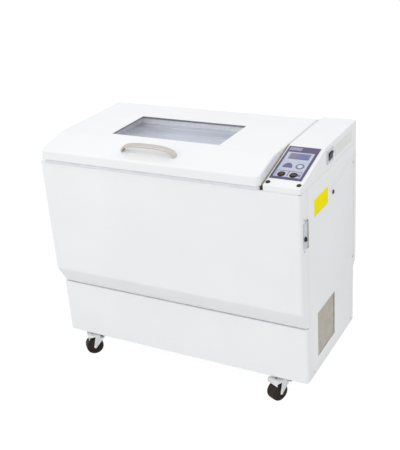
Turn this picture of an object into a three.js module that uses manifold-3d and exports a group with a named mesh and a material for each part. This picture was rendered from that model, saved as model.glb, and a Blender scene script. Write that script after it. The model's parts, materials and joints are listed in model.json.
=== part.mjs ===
// A floor-standing incubated shaker: a sheet steel cabinet on castors, with a hinged lid over a heated
// chamber, an orbiting platform on three cranks, and a control housing at the right.
// Millimetres. X runs to the right, Y to the back and Z up. The pieces are written in the cabinet's own
// frame, with zero at its left side, its front face and the floor, and one group moves them all so that
// zero is the middle of the whole object's footprint.
import * as THREE from 'three';
import { mergeVertices } from 'three/addons/utils/BufferGeometryUtils.js';
import Module from 'manifold-3d';

const wasm = await Module();
wasm.setup();

// Sizes shared by every piece
const seatGap = 0.3; // between two pieces that rest on each other
const overrun = 5; // how far a cut runs past the piece that it cuts
const sheet = 1.5; // steel sheet of the casing and the chamber
const weldDistance = 1e-4; // corners of a raw shape that are closer than this are one corner

const cabinet = {
  width: 1128,
  depth: 568,
  bodyHeight: 808, // from the body's bottom edge to the deck
  headHeight: 88, // from the deck to the top of the lid and the control housing
  cornerRadius: 12,
  frontFoot: 325, // where the upright front ends and the chamfer starts, above the body's bottom edge
  chamferFoot: 244,
  chamferInset: 46,
  skirtInset: 38,
  groove: 4, // between the chamfer and the skirt
  frontWrap: 60, // how far the front sheets wrap round the sides
  seam: 0.8,
  panelReturn: 20,
  skirtReturn: 9,
};

const castor = {
  height: 110,
  insetX: 124,
  insetY: 80,
  // degrees that each fork stands turned at rest
  turns: { front_left: -45, front_right: -25, rear_left: -35, rear_right: -25 },
  trail: 32,
  wheelRadius: 38,
  wheelWidth: 48,
  wheelShoulder: 5,
  hubRadius: 14,
  hubStep: 1.5,
  sideGap: 2,
  legSheet: 2.5,
  legTopHalf: 20,
  legEnd: 7,
  legTipWidthShare: 0.6, // the leg's end below the axle, narrowed to this share
  legTipDropShare: 0.8,
  crownClearance: 12, // between the tyre and the crown
  crownHeight: 8,
  crownFront: 56, // how far the crown reaches over the wheel, from the stem
  apronGap: 2, // between the top of the tyre and the edge of the crown's front apron
  rivetRadius: 5,
  rivetHeight: 2.5,
  rivetForward: 36,
  domeRadius: 18,
  domeHeight: 5,
  domeTopShare: 0.75,
  kingpinRadius: 6,
  kingpinLength: 12,
  axleRadius: 4,
  axleHead: 2,
  runningGap: 0.4,
  raceRadius: 19,
  raceGap: 1,
};

const brake = {
  pinRadius: 2,
  knuckleRadius: 4,
  length: 14,
  earSheet: 2,
  pedalReach: 20,
  pedalSheet: 2.5,
  standOff: 1,
};

const basePan = { inset: 6, sheet: 2.5, edgeHeight: 30 };

const deck = { sheet: 2, rearFlange: 40 };

const chamber = {
  left: 78,
  housingMargin: 65.5, // from the chamber's right wall to the control housing
  front: 56,
  back: 56,
  floorHeight: 380, // above the body's bottom edge
  rim: 15,
};

const insulationThickness = 40;

const vent = {
  front: 150,
  width: 190,
  bottom: 62,
  plateGap: 10, // from the vent's top to the folded edge of the drive plate
  slats: 16,
  slatShare: 0.5,
  sheet: 2,
  margin: 8,
};

const sidePlate = { front: 129, width: 138, bottom: 672, height: 66, sheet: 1 };

const portPlug = { y: 324, z: 695, radius: 6, flangeRadius: 8, flange: 3 };

const latch = {
  front: 18,
  bottom: 590,
  height: 100,
  sheet: 2,
  knobY: 28,
  knobZ: 629,
  knobRadius: 13,
  knobHeight: 12,
  gripWidth: 6,
  gripLengthShare: 0.8, // of the knob's width
  gripHeight: 5,
  bladeWidth: 10,
  bladeSheet: 2.5,
  bladeReach: 38,
  keeperWidth: 12,
  keeperDepth: 6,
  keeperExtra: 6, // how much longer the keeper is than the plate, at each end
};

const backCover = { bottom: 256, depth: 28 }; // it reaches up to the deck's rear flange

const backPanel = { margin: 6 };

const housing = {
  width: 142.5, // its rear hangs over the cabinet's and ends flush with the back cover
  lipHeight: 22,
  slopeRun: 257,
};

const panel = { side: 6.5, width: 122, bottom: 45, height: 203, sheet: 2, border: 8 };

const display = { x: 69, y: 186, width: 78, height: 37 };

const domeKeys = { x: 47, y: 114, halfWidth: 18, height: 28, split: 1 };

const startKey = { x: 93, y: 126, radius: 9 };

const key = { proud: 1.2, depth: 2, sideGap: 0.3 };

const rocker = {
  leftX: 43,
  rightX: 89,
  y: 72,
  radius: 11,
  holeGap: 1.4,
  pivotRadius: 1,
  tilt: 10,
  proud: 2.6,
  dip: 1,
  depth: 3,
};

const screwCap = { sideInset: 13, y: 20, radius: 9, height: 4 };

const mains = {
  front: 258,
  width: 66,
  bottom: 18,
  height: 51,
  sheet: 3,
  rockerWidth: 42,
  rockerHeight: 28,
  tilt: 10,
  proud: 3.4,
  dip: 1.5,
  depth: 4,
  holeGap: 1.4,
  border: 5,
};

const labelStrip = { front: 345, back: 30, bottom: 22, height: 39, sheet: 1 };

const lid = {
  leftInset: 21,
  overhangFront: 13,
  housingGap: 6, // between the lid and the control housing
  lift: 17, // from the deck to the lid's lower edge, filled by the gasket
  frontHeight: 38,
  slopeEnd: 123,
  linerLift: 1,
  linerGap: 0.5,
};

const windowOpening = {
  aside: -4.25, // of its middle from the lid's middle
  width: 484,
  front: 164,
  depth: 240,
  margin: 12,
  glass: 5,
  paneGap: 26, // between the outer pane and the inner one
};

const gasket = { inset: 10, width: 18, leftInset: 13, rightInset: 12 };

const handle = {
  slopeShare: 0.43, // how far up the lid's slope its middle stands
  length: 240,
  height: 38,
  thickness: 10,
  width: 26,
  squareness: 3.2, // exponent of the arch's outline
  steps: 20,
};

const hinge = {
  inset: 60,
  knuckles: 7,
  axisBehind: 8, // behind the cabinet's rear face
  axisAbove: 8, // above the deck
  knuckleRadius: 6,
  pinRadius: 2.5,
  pinGap: 0.4,
  endGap: 0.6,
  leafSheet: 2.5,
  leafHeight: 34,
  leafGap: 7,
};

const orbitRadius = 13;

const drive = {
  insulationGap: 38.2, // from the drive plate up to the insulation
  plateSheet: 8,
  plateFrontMargin: 104, // from the main crank
  plateRearMargin: 86, // from the idler cranks
  plateFold: 25,
  mainForward: 50, // how far the main crank stands in front of the chamber's middle
  idlerBack: 70,
  idlerInset: 161, // from the chamber's side walls
  tubeRadius: 24,
  tubeProud: 6, // how far the bearing tubes stand out of the chamber's floor
  shaftRadius: 10,
  shaftGap: 0.3,
  discRadius: 26,
  discHeight: 10,
  discGap: 2,
  pinRadius: 8,
  pinHeight: 22,
  counterRadius: 50,
  idlerTail: 8,
  holeGap: 2,
};

const pulley = {
  motorGap: 35.4, // from the motor up to the pulleys
  height: 20,
  flange: 2,
  flangeProud: 4,
  drivenRadius: 75,
  motorRadius: 25,
  motorReach: 255, // from the main crank to the motor
  tail: 4,
};

const belt = { gap: 0.5, thickness: 4, sideGap: 2 };

const motorSize = { radius: 55, height: 150, shaftRadius: 8, footHeight: 8, footExtra: 12, socket: 30 };

const platform = {
  sideGap: 18, // from the chamber's side walls when the tray is nearest to them
  frontGap: 15,
  sheet: 3,
  rim: 16,
  cupRadius: 16,
  cupGap: 4, // between a crank's disc and the cup over its pin
  pinGap: 0.5,
};

const fan = {
  height: 640, // of its shaft above the body's bottom edge
  radius: 60,
  blades: 8,
  bladeDepth: 22,
  bladeSheet: 2,
  hubRadius: 16,
  wallGap: 8,
  shaftRadius: 5,
  shaftGap: 0.5,
  motorRadius: 38,
  motorLength: 70,
  flangeRadius: 48,
  flange: 4,
  socket: 25,
};

const heaterSize = { radius: 74, tube: 4, studSpread: 14 };

// Places worked out from the sizes
const bodyBottom = castor.height;
const deckTop = bodyBottom + cabinet.bodyHeight;
const headTop = deckTop + cabinet.headHeight;
const panelTop = deckTop - deck.sheet - seatGap;
const chamferBottom = bodyBottom + cabinet.chamferFoot;
const chamferTop = bodyBottom + cabinet.frontFoot;
const skirtTop = chamferBottom - cabinet.groove;
const sideFront = cabinet.frontWrap + cabinet.seam;
const housingLeft = cabinet.width - housing.width;
const chamberRight = housingLeft - chamber.housingMargin;
const chamberRear = cabinet.depth - chamber.back;
const chamberFloor = bodyBottom + chamber.floorHeight;
const chamberX = (chamber.left + chamberRight) / 2;
const chamberY = (chamber.front + chamberRear) / 2;
const lidBottom = deckTop + lid.lift;
const lidLeft = lid.leftInset;
const lidRight = housingLeft - lid.housingGap;
const windowMiddle = (lidLeft + lidRight) / 2 + windowOpening.aside;
const lidFront = -lid.overhangFront;
const lidFrontTop = lidBottom + lid.frontHeight;
const hingeY = cabinet.depth + hinge.axisBehind;
const hingeZ = deckTop + hinge.axisAbove;
const outerFace = cabinet.width + seatGap; // where pieces lie on the right side
const coverFront = cabinet.depth + seatGap * 2 + sheet;
const coverRear = coverFront + backCover.depth; // also where the control housing ends
const insulationReach = sheet + seatGap + insulationThickness;
const insulationLeft = chamber.left - insulationReach;
const insulationRight = chamberRight + insulationReach;
const plateTop = chamberFloor - insulationReach - drive.insulationGap;
const plateLow = plateTop - drive.plateSheet;
const ventTop = plateLow - drive.plateFold - vent.plateGap;
const tubeTop = chamberFloor + drive.tubeProud;
const discBottom = tubeTop + drive.discGap;
const discTop = discBottom + drive.discHeight;
const mainCrank = { x: chamberX, y: chamberY - drive.mainForward };
const idlerLeft = { x: chamber.left + drive.idlerInset, y: chamberY + drive.idlerBack };
const idlerRight = { x: chamberRight - drive.idlerInset, y: chamberY + drive.idlerBack };
const motorPlace = { x: mainCrank.x + pulley.motorReach, y: mainCrank.y };
const motorBottom = bodyBottom + sheet + seatGap * 2 + basePan.sheet;
const motorTop = motorBottom + motorSize.height;
const pulleyBottom = motorTop + pulley.motorGap;
const fanZ = bodyBottom + fan.height;

// Solids

function solidOf(geometry) {
  const bare = geometry.clone();
  bare.deleteAttribute('normal');
  bare.deleteAttribute('uv');
  const merged = mergeVertices(bare, weldDistance);
  return new wasm.Manifold(
    new wasm.Mesh({
      numProp: 3,
      vertProperties: merged.attributes.position.array,
      triVerts: new Uint32Array(merged.index.array),
    }),
  );
}

function geometryOf(solid) {
  const mesh = solid.getMesh();
  const geometry = new THREE.BufferGeometry();
  geometry.setAttribute('position', new THREE.BufferAttribute(mesh.vertProperties, 3));
  geometry.setIndex(new THREE.BufferAttribute(mesh.triVerts, 1));
  const flat = geometry.toNonIndexed();
  flat.computeVertexNormals();
  return flat;
}

function box(x, y, z) {
  const geometry = new THREE.BoxGeometry(x[1] - x[0], y[1] - y[0], z[1] - z[0]);
  geometry.translate((x[0] + x[1]) / 2, (y[0] + y[1]) / 2, (z[0] + z[1]) / 2);
  return solidOf(geometry);
}

// Each way of standing an extrusion up: the outline's two axes, then the way that it is drawn out
const outlineAxes = {
  x: [new THREE.Vector3(0, 1, 0), new THREE.Vector3(0, 0, 1), new THREE.Vector3(1, 0, 0)],
  y: [new THREE.Vector3(0, 0, 1), new THREE.Vector3(1, 0, 0), new THREE.Vector3(0, 1, 0)],
  z: [new THREE.Vector3(1, 0, 0), new THREE.Vector3(0, 1, 0), new THREE.Vector3(0, 0, 1)],
};

function prism(axis, shape, from, to, curveSegments = 12) {
  const geometry = new THREE.ExtrudeGeometry(shape, { depth: to - from, bevelEnabled: false, curveSegments });
  geometry.translate(0, 0, from);
  geometry.applyMatrix4(new THREE.Matrix4().makeBasis(...outlineAxes[axis]));
  return solidOf(geometry);
}

function outline(points) {
  return new THREE.Shape(points.map(([u, v]) => new THREE.Vector2(u, v)));
}

function disc(radius, u = 0, v = 0) {
  const shape = new THREE.Shape();
  shape.absarc(u, v, radius, 0, Math.PI * 2);
  return shape;
}

// A round bar along an axis; u and v are its centre in the outline's two axes
function bar(axis, radius, u, v, from, to, sides = 24) {
  return prism(axis, disc(radius, u, v), from, to, sides / 2);
}

// A solid turned about the Z axis from a closed outline of radius and height
function turned(points, sides = 32) {
  const closed = [...points, points[0]].map(([radius, height]) => new THREE.Vector2(radius, height));
  const geometry = new THREE.LatheGeometry(closed, sides);
  geometry.rotateX(Math.PI / 2);
  return solidOf(geometry);
}

// A closed solid through level rings of points, lowest first, each anticlockwise from above
function loft(rings) {
  const count = rings[0].length;
  const positions = rings.flat().flatMap((point) => [point.x, point.y, point.z]);
  const triangles = [];
  for (let level = 0; level + 1 < rings.length; level += 1) {
    for (let i = 0; i < count; i += 1) {
      const a = level * count + i;
      const b = level * count + ((i + 1) % count);
      triangles.push(a, b, b + count, a, b + count, a + count);
    }
  }
  const lastRing = (rings.length - 1) * count;
  for (const [a, b, c] of THREE.ShapeUtils.triangulateShape(rings[0], [])) {
    triangles.push(c, b, a, a + lastRing, b + lastRing, c + lastRing);
  }
  const geometry = new THREE.BufferGeometry();
  geometry.setAttribute('position', new THREE.Float32BufferAttribute(positions, 3));
  geometry.setIndex(triangles);
  return solidOf(geometry);
}

function moved(solid, x, y, z) {
  return solid.translate([x, y, z]);
}

function joined(solids) {
  return solids.reduce((whole, solid) => whole.add(solid));
}

// Materials

function material(color, roughness, metalness, extra = {}) {
  return new THREE.MeshStandardMaterial({ color, roughness, metalness, ...extra });
}

const whitePaint = material(0xeff1f3, 0.45, 0);
const steel = material(0xb9bcc4, 0.35, 0.9);
const satinNickel = material(0xb8b2ab, 0.35, 0.9);
const brightZinc = material(0xd2d5da, 0.3, 0.9);
const castIron = material(0x55585c, 0.6, 0.5);
const foam = material(0xd9cfae, 0.9, 0);
const warmGrey = material(0xada89e, 0.6, 0.1);
const paleGrey = material(0xd7d9d7, 0.6, 0);
const yellow = material(0xeedc00, 0.5, 0);
const darkBrown = material(0x46372f, 0.5, 0);
const blueGrey = material(0xa9b4c6, 0.5, 0);
const purple = material(0x5c5678, 0.5, 0);
const displayBlue = material(0x8280a8, 0.2, 0);
const keyPurple = material(0x6a628f, 0.5, 0);
const rubber = material(0x8d8b98, 0.9, 0);
const wheelBlack = material(0x281c16, 0.6, 0);
const glass = material(0xb9c3d2, 0.05, 0, { transparent: true, opacity: 0.4 });
const blackRubber = material(0x222222, 0.9, 0);

// Groups: the whole object, and the two sloping faces that carry pieces of their own

const shaker = new THREE.Group();
const rightmost = outerFace + latch.sheet + seatGap + latch.bladeSheet + latch.knobHeight + latch.gripHeight;
shaker.position.set(-rightmost / 2, -(lidFront + coverRear) / 2, 0);

function add(name, solid, look, group = shaker) {
  const mesh = new THREE.Mesh(geometryOf(solid), look);
  mesh.name = name;
  group.add(mesh);
  return mesh;
}

function slopeGroup(x, y, z, run, rise) {
  const group = new THREE.Group();
  group.position.set(x, y, z);
  group.rotation.x = Math.atan2(rise, run);
  shaker.add(group);
  group.updateMatrix();
  return group;
}

const housingRise = cabinet.headHeight - housing.lipHeight;
const housingSlope = slopeGroup(housingLeft, 0, deckTop + housing.lipHeight, housing.slopeRun, housingRise);
const lidRun = lid.slopeEnd - lidFront;
const lidRise = headTop - lidFrontTop;
const lidSlope = slopeGroup(0, lidFront, lidFrontTop, lidRun, lidRise);

// A cut made in a sloping group's frame, brought into the cabinet's frame
function fromSlope(group, solid) {
  return solid.transform(group.matrix.elements);
}

// Cabinet

// The cabinet's outline at one height, with rounded front corners, drawn in by an inset
function cabinetRing(front, inset, z) {
  const radius = cabinet.cornerRadius - inset;
  const left = inset;
  const right = cabinet.width - inset;
  const rear = cabinet.depth;
  const points = [new THREE.Vector3(left, rear, z)];
  const steps = 5;
  for (let i = 0; i <= steps; i += 1) {
    const turn = Math.PI * (1 + i / steps / 2);
    const x = left + radius + radius * Math.cos(turn);
    const y = front + inset + radius + radius * Math.sin(turn);
    points.push(new THREE.Vector3(x, y, z));
  }
  for (let i = 0; i <= steps; i += 1) {
    const turn = Math.PI * (1.5 + i / steps / 2);
    const x = right - radius + radius * Math.cos(turn);
    const y = front + inset + radius + radius * Math.sin(turn);
    points.push(new THREE.Vector3(x, y, z));
  }
  points.push(new THREE.Vector3(right, rear, z));
  return points;
}

function behind(y) {
  return box(
    [-overrun, cabinet.width + overrun],
    [y, cabinet.depth + overrun],
    [0, headTop],
  );
}

function frontCover() {
  const slope = cabinet.chamferInset / (chamferTop - chamferBottom);
  const outer = loft([
    cabinetRing(cabinet.chamferInset, 0, chamferBottom),
    cabinetRing(0, 0, chamferTop),
    cabinetRing(0, 0, panelTop),
  ]);
  const inner = loft([
    cabinetRing(cabinet.chamferInset - sheet * slope, sheet, chamferBottom + sheet),
    cabinetRing(0, sheet, chamferTop),
    cabinetRing(0, sheet, panelTop + overrun),
  ]);
  return outer.subtract(inner).subtract(behind(cabinet.frontWrap));
}

function frontSkirt() {
  const outer = loft([
    cabinetRing(cabinet.skirtInset, 0, bodyBottom),
    cabinetRing(cabinet.skirtInset, 0, skirtTop),
  ]);
  const inner = loft([
    cabinetRing(cabinet.skirtInset, sheet, bodyBottom + sheet),
    cabinetRing(cabinet.skirtInset, sheet, skirtTop - sheet),
  ]);
  const openBottom = box(
    [cabinet.panelReturn, cabinet.width - cabinet.panelReturn],
    [cabinet.skirtInset + cabinet.skirtReturn, cabinet.depth],
    [bodyBottom - overrun, bodyBottom + sheet * 2],
  );
  return outer.subtract(inner).subtract(openBottom).subtract(behind(cabinet.frontWrap));
}

function sidePanel(inward) {
  const [near, far] = inward > 0 ? [0, 1] : [-1, 0];
  const outer = inward > 0 ? 0 : cabinet.width;
  const across = (reach) => [outer + near * reach, outer + far * reach];
  const wall = box(across(sheet), [sideFront, cabinet.depth], [bodyBottom, panelTop]);
  const foot = box(
    across(cabinet.panelReturn),
    [sideFront, cabinet.depth],
    [bodyBottom, bodyBottom + sheet],
  );
  const rear = box(
    across(cabinet.panelReturn),
    [cabinet.depth - sheet, cabinet.depth],
    [bodyBottom, deckTop - deck.rearFlange - seatGap],
  );
  return joined([wall, foot, rear]);
}

function rightPanel() {
  const ventCut = box(
    [cabinet.width - overrun, cabinet.width + overrun],
    [vent.front, vent.front + vent.width],
    [bodyBottom + vent.bottom, ventTop],
  );
  const plugCut = bar(
    'x',
    portPlug.radius + seatGap,
    portPlug.y,
    bodyBottom + portPlug.z,
    cabinet.width - overrun,
    cabinet.width + overrun,
    20,
  );
  return sidePanel(-1).subtract(ventCut).subtract(plugCut);
}

function backPanelSolid() {
  return box(
    [backPanel.margin, cabinet.width - backPanel.margin],
    [cabinet.depth + seatGap, cabinet.depth + seatGap + sheet],
    [bodyBottom + backPanel.margin, deckTop - deck.rearFlange - backPanel.margin],
  );
}

function backCoverSolid() {
  const low = bodyBottom + backCover.bottom;
  const high = deckTop - deck.rearFlange;
  const outer = prism(
    'x',
    outline([
      [coverFront, low],
      [coverRear, low + backCover.depth],
      [coverRear, high],
      [coverFront, high],
    ]),
    0,
    cabinet.width,
  );
  const hollow = box(
    [sheet, cabinet.width - sheet],
    [coverFront - overrun, coverRear - sheet],
    [low + backCover.depth, high - sheet],
  );
  return outer.subtract(hollow);
}

function deckSolid() {
  const plate = loft([
    cabinetRing(0, 0, deckTop - deck.sheet),
    cabinetRing(0, 0, deckTop),
  ]);
  const opening = box(
    [chamber.left, chamberRight],
    [chamber.front, chamberRear],
    [deckTop - deck.sheet - overrun, deckTop + overrun],
  );
  const flange = box(
    [cabinet.panelReturn, cabinet.width - cabinet.panelReturn],
    [cabinet.depth - sheet, cabinet.depth],
    [deckTop - deck.rearFlange, deckTop],
  );
  return plate.subtract(opening).add(flange);
}

const crankPlaces = [mainCrank, idlerLeft, idlerRight];

// Holes for the three bearing tubes, through whatever lies between two heights
function tubeHoles(from, to) {
  const radius = drive.tubeRadius + drive.holeGap;
  return joined(crankPlaces.map((place) => bar('z', radius, place.x, place.y, from, to)));
}

function fanShaftHole(from, to) {
  return bar('x', fan.shaftRadius + fan.shaftGap, chamberY, fanZ, from, to, 20);
}

function chamberTub() {
  const rimTop = panelTop;
  const shell = box(
    [chamber.left - sheet, chamberRight + sheet],
    [chamber.front - sheet, chamberRear + sheet],
    [chamberFloor - sheet, rimTop],
  );
  const rim = box(
    [chamber.left - chamber.rim, chamberRight + chamber.rim],
    [chamber.front - chamber.rim, chamberRear + chamber.rim],
    [rimTop - sheet, rimTop],
  );
  const hollow = box(
    [chamber.left, chamberRight],
    [chamber.front, chamberRear],
    [chamberFloor, rimTop + overrun],
  );
  return shell
    .add(rim)
    .subtract(hollow)
    .subtract(tubeHoles(chamberFloor - overrun, chamberFloor + overrun))
    .subtract(fanShaftHole(chamberRight - overrun, chamberRight + overrun));
}

function insulationBlock() {
  const wall = sheet + seatGap;
  const high = panelTop - sheet - seatGap;
  const outer = box(
    [insulationLeft, insulationRight],
    [chamber.front - insulationReach, chamberRear + insulationReach],
    [chamberFloor - insulationReach, high],
  );
  const hollow = box(
    [chamber.left - wall, chamberRight + wall],
    [chamber.front - wall, chamberRear + wall],
    [chamberFloor - wall, high + overrun],
  );
  return outer
    .subtract(hollow)
    .subtract(tubeHoles(chamberFloor - insulationReach - overrun, chamberFloor))
    .subtract(fanShaftHole(chamberRight - overrun, insulationRight + overrun));
}

function basePanSolid() {
  const low = bodyBottom + sheet + seatGap;
  const x = [basePan.inset, cabinet.width - basePan.inset];
  const y = [cabinet.skirtInset + basePan.inset, cabinet.depth - basePan.inset];
  const inner = [x[0] + basePan.sheet, x[1] - basePan.sheet];
  const innerY = [y[0] + basePan.sheet, y[1] - basePan.sheet];
  const tray = box(x, y, [low, low + basePan.edgeHeight]).subtract(
    box(inner, innerY, [low + basePan.sheet, low + basePan.edgeHeight + overrun]),
  );
  const races = castorPlaces().map(({ x: stemX, y: stemY }) =>
    bar('z', castor.raceRadius, stemX, stemY, forkTop + castor.raceGap, low + basePan.sheet, 20),
  );
  const bores = castorPlaces().map(({ x: stemX, y: stemY }) =>
    bar('z', castor.kingpinRadius + castor.runningGap, stemX, stemY, 0, low + basePan.edgeHeight, 12),
  );
  return joined([tray, ...races]).subtract(joined(bores));
}

function ventGrille() {
  const x = [cabinet.width - sheet - seatGap - vent.sheet, cabinet.width - sheet - seatGap];
  const low = bodyBottom + vent.bottom;
  const plate = box(
    x,
    [vent.front - vent.margin, vent.front + vent.width + vent.margin],
    [low - vent.margin, ventTop + vent.margin],
  );
  const pitch = (ventTop - low) / vent.slats;
  const slots = [];
  for (let i = 0; i < vent.slats; i += 1) {
    const middle = low + pitch * (i + 0.5);
    const half = (pitch * vent.slatShare) / 2;
    slots.push(
      box(
        [x[0] - overrun, x[1] + overrun],
        [vent.front + pitch / 2, vent.front + vent.width - pitch / 2],
        [middle - half, middle + half],
      ),
    );
  }
  return plate.subtract(joined(slots));
}

// A plate lying on the cabinet's right side
function plateOnRight(front, width, bottom, height, thickness) {
  return box([outerFace, outerFace + thickness], [front, front + width], [bottom, bottom + height]);
}

function portPlugSolid() {
  const z = bodyBottom + portPlug.z;
  const flange = bar('x', portPlug.flangeRadius, portPlug.y, z, outerFace, outerFace + portPlug.flange, 20);
  const stem = bar('x', portPlug.radius, portPlug.y, z, cabinet.width - sheet * 2, outerFace + sheet, 20);
  return flange.add(stem);
}

const bladeBack = outerFace + latch.sheet + seatGap;

function latchPlate() {
  const width = cabinet.frontWrap - latch.front;
  return plateOnRight(latch.front, width, bodyBottom + latch.bottom, latch.height, latch.sheet);
}

function latchKeeper() {
  const low = bodyBottom + latch.bottom - latch.keeperExtra;
  const height = latch.height + latch.keeperExtra * 2;
  const strip = plateOnRight(sideFront, latch.keeperWidth, low, height, latch.keeperDepth);
  const groove = box(
    [bladeBack - seatGap, bladeBack + latch.bladeSheet + seatGap],
    [sideFront - overrun, latch.knobY + latch.bladeReach + seatGap * 2],
    [low - overrun, low + height + overrun],
  );
  return strip.subtract(groove);
}

function latchKnob() {
  const z = bodyBottom + latch.knobZ;
  const knobBack = bladeBack + latch.bladeSheet;
  const knobFront = knobBack + latch.knobHeight;
  const blade = box(
    [bladeBack, knobBack + seatGap],
    [latch.knobY, latch.knobY + latch.bladeReach],
    [z - latch.bladeWidth / 2, z + latch.bladeWidth / 2],
  );
  const gripHalf = latch.knobRadius * latch.gripLengthShare;
  const hub = bar('x', latch.knobRadius / 2, latch.knobY, z, bladeBack, knobFront, 20);
  const knob = bar('x', latch.knobRadius, latch.knobY, z, knobBack + seatGap, knobFront, 28);
  const grip = box(
    [knobFront - seatGap, knobFront + latch.gripHeight],
    [latch.knobY - gripHalf, latch.knobY + gripHalf],
    [z - latch.gripWidth / 2, z + latch.gripWidth / 2],
  );
  return joined([blade, hub, knob, grip]);
}

// Control housing

// The housing's side outline, drawn in by the sheet where a hollow is wanted, with its tail behind the cabinet
function housingOutline(inset, low, tailLow) {
  const slope = housingRise / housing.slopeRun;
  const drop = inset * Math.hypot(1, slope);
  const slopeStart = deckTop + housing.lipHeight;
  return outline([
    [inset, low],
    [cabinet.depth + seatGap + inset, low],
    [cabinet.depth + seatGap + inset, tailLow],
    [coverRear - inset, tailLow],
    [coverRear - inset, headTop - inset],
    [(housingRise - inset + drop) / slope, headTop - inset],
    [inset, slopeStart + inset * slope - drop],
  ]);
}

function controlHousing() {
  const tailLow = deckTop - deck.rearFlange + seatGap;
  const outline = housingOutline(0, deckTop + seatGap, tailLow);
  const outer = prism('x', outline, housingLeft, cabinet.width);
  const hollow = prism(
    'x',
    housingOutline(sheet, deckTop - overrun, tailLow - overrun),
    housingLeft + sheet,
    cabinet.width - sheet,
  );
  const panelCut = box(
    [panel.side + panel.border, panel.side + panel.width - panel.border],
    [panel.bottom + panel.border, panel.bottom + panel.height - panel.border],
    [-overrun, overrun],
  );
  const mainsCut = box(
    [cabinet.width - overrun, cabinet.width + overrun],
    [mains.front + mains.border, mains.front + mains.width - mains.border],
    [deckTop + mains.bottom + mains.border, deckTop + mains.bottom + mains.height - mains.border],
  );
  return outer.subtract(hollow).subtract(fromSlope(housingSlope, panelCut)).subtract(mainsCut);
}

const panelFace = seatGap + panel.sheet;

function domeOutline(side, grow) {
  const a = domeKeys.halfWidth + grow;
  const b = domeKeys.height + grow;
  const points = [[-(domeKeys.split / 2) + grow, -grow]];
  const steps = 8;
  for (let i = 0; i <= steps; i += 1) {
    const turn = (Math.PI / 2) * (1 + i / steps);
    const x = Math.min(a * Math.cos(turn), points[0][0]);
    points.push([x, b * Math.sin(turn) - (i === steps ? grow : 0)]);
  }
  const placed = points.map(([x, y]) => [domeKeys.x + side * -x, domeKeys.y + y]);
  return outline(side > 0 ? placed.reverse() : placed);
}

function controlPanel() {
  const through = [-overrun, overrun + panel.sheet];
  const plate = box(
    [panel.side, panel.side + panel.width],
    [panel.bottom, panel.bottom + panel.height],
    [seatGap, panelFace],
  );
  const displayCut = box(
    [display.x - display.width / 2 - seatGap, display.x + display.width / 2 + seatGap],
    [display.y - display.height / 2 - seatGap, display.y + display.height / 2 + seatGap],
    through,
  );
  const keyCuts = [-1, 1].map((side) => prism('z', domeOutline(side, key.sideGap), ...through));
  const startCut = bar('z', startKey.radius + key.sideGap, startKey.x, startKey.y, ...through);
  const rockerCuts = [rocker.leftX, rocker.rightX].map((x) =>
    bar('z', rocker.radius + rocker.holeGap, x, rocker.y, ...through),
  );
  return plate.subtract(joined([displayCut, ...keyCuts, startCut, ...rockerCuts]));
}

function displayWindow() {
  return box(
    [display.x - display.width / 2, display.x + display.width / 2],
    [display.y - display.height / 2, display.y + display.height / 2],
    [seatGap, panelFace],
  );
}

function keySolid(shape) {
  return prism('z', shape, -key.depth, panelFace + key.proud);
}

// A rocker's outline across its tilt axis: two faces that dip to the middle, over a narrower foot
function rockerOutline(half, proud, dip, depth) {
  const footShare = 0.85;
  return outline([
    [-half * footShare, -depth],
    [half * footShare, -depth],
    [half, 0],
    [half, proud],
    [0, proud - dip],
    [-half, proud],
    [-half, 0],
  ]);
}

function roundRocker() {
  const block = prism(
    'x',
    rockerOutline(rocker.radius, rocker.proud, rocker.dip, rocker.depth),
    -rocker.radius,
    rocker.radius,
  );
  const round = bar('z', rocker.radius, 0, 0, -rocker.depth - overrun, rocker.proud + overrun);
  const reach = rocker.radius + rocker.holeGap - seatGap;
  return block.intersect(round).add(bar('x', rocker.pivotRadius, 0, 0, -reach, reach, 8));
}

function addRocker(name, x) {
  const mesh = add(name, roundRocker(), darkBrown, housingSlope);
  mesh.position.set(x, rocker.y, panelFace);
  mesh.rotation.x = THREE.MathUtils.degToRad(-rocker.tilt);
}

function screwCapSolid() {
  const arc = [[0, 0]];
  const steps = 5;
  for (let i = 0; i <= steps; i += 1) {
    const turn = ((Math.PI / 2) * i) / steps;
    arc.push([screwCap.radius * Math.cos(turn), screwCap.height * Math.sin(turn)]);
  }
  return turned(arc, 20);
}

function addScrewCap(name, x) {
  const mesh = add(name, screwCapSolid(), darkBrown, housingSlope);
  mesh.position.set(x, screwCap.y, seatGap);
}

const mainsMiddle = {
  y: mains.front + mains.width / 2,
  z: deckTop + mains.bottom + mains.height / 2,
};

function mainsFrame() {
  const plate = plateOnRight(mains.front, mains.width, deckTop + mains.bottom, mains.height, mains.sheet);
  const halfWidth = mains.rockerWidth / 2 + key.sideGap;
  const halfHeight = mains.rockerHeight / 2 + mains.holeGap;
  const cut = box(
    [cabinet.width - overrun, outerFace + mains.sheet + overrun],
    [mainsMiddle.y - halfWidth, mainsMiddle.y + halfWidth],
    [mainsMiddle.z - halfHeight, mainsMiddle.z + halfHeight],
  );
  return plate.subtract(cut);
}

// The mains rocker, drawn about its own tilt axis, facing up, and then stood on its side
function addMainsRocker() {
  const shape = rockerOutline(mains.rockerHeight / 2, mains.proud, mains.dip, mains.depth);
  const solid = prism('x', shape, -mains.rockerWidth / 2, mains.rockerWidth / 2);
  const stand = new THREE.Group();
  stand.position.set(outerFace + mains.sheet, mainsMiddle.y, mainsMiddle.z);
  stand.rotation.set(0, Math.PI / 2, Math.PI / 2, 'YXZ');
  shaker.add(stand);
  const mesh = add('mains_switch_rocker', solid, darkBrown, stand);
  mesh.rotation.x = THREE.MathUtils.degToRad(mains.tilt);
}

// Lid

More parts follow.
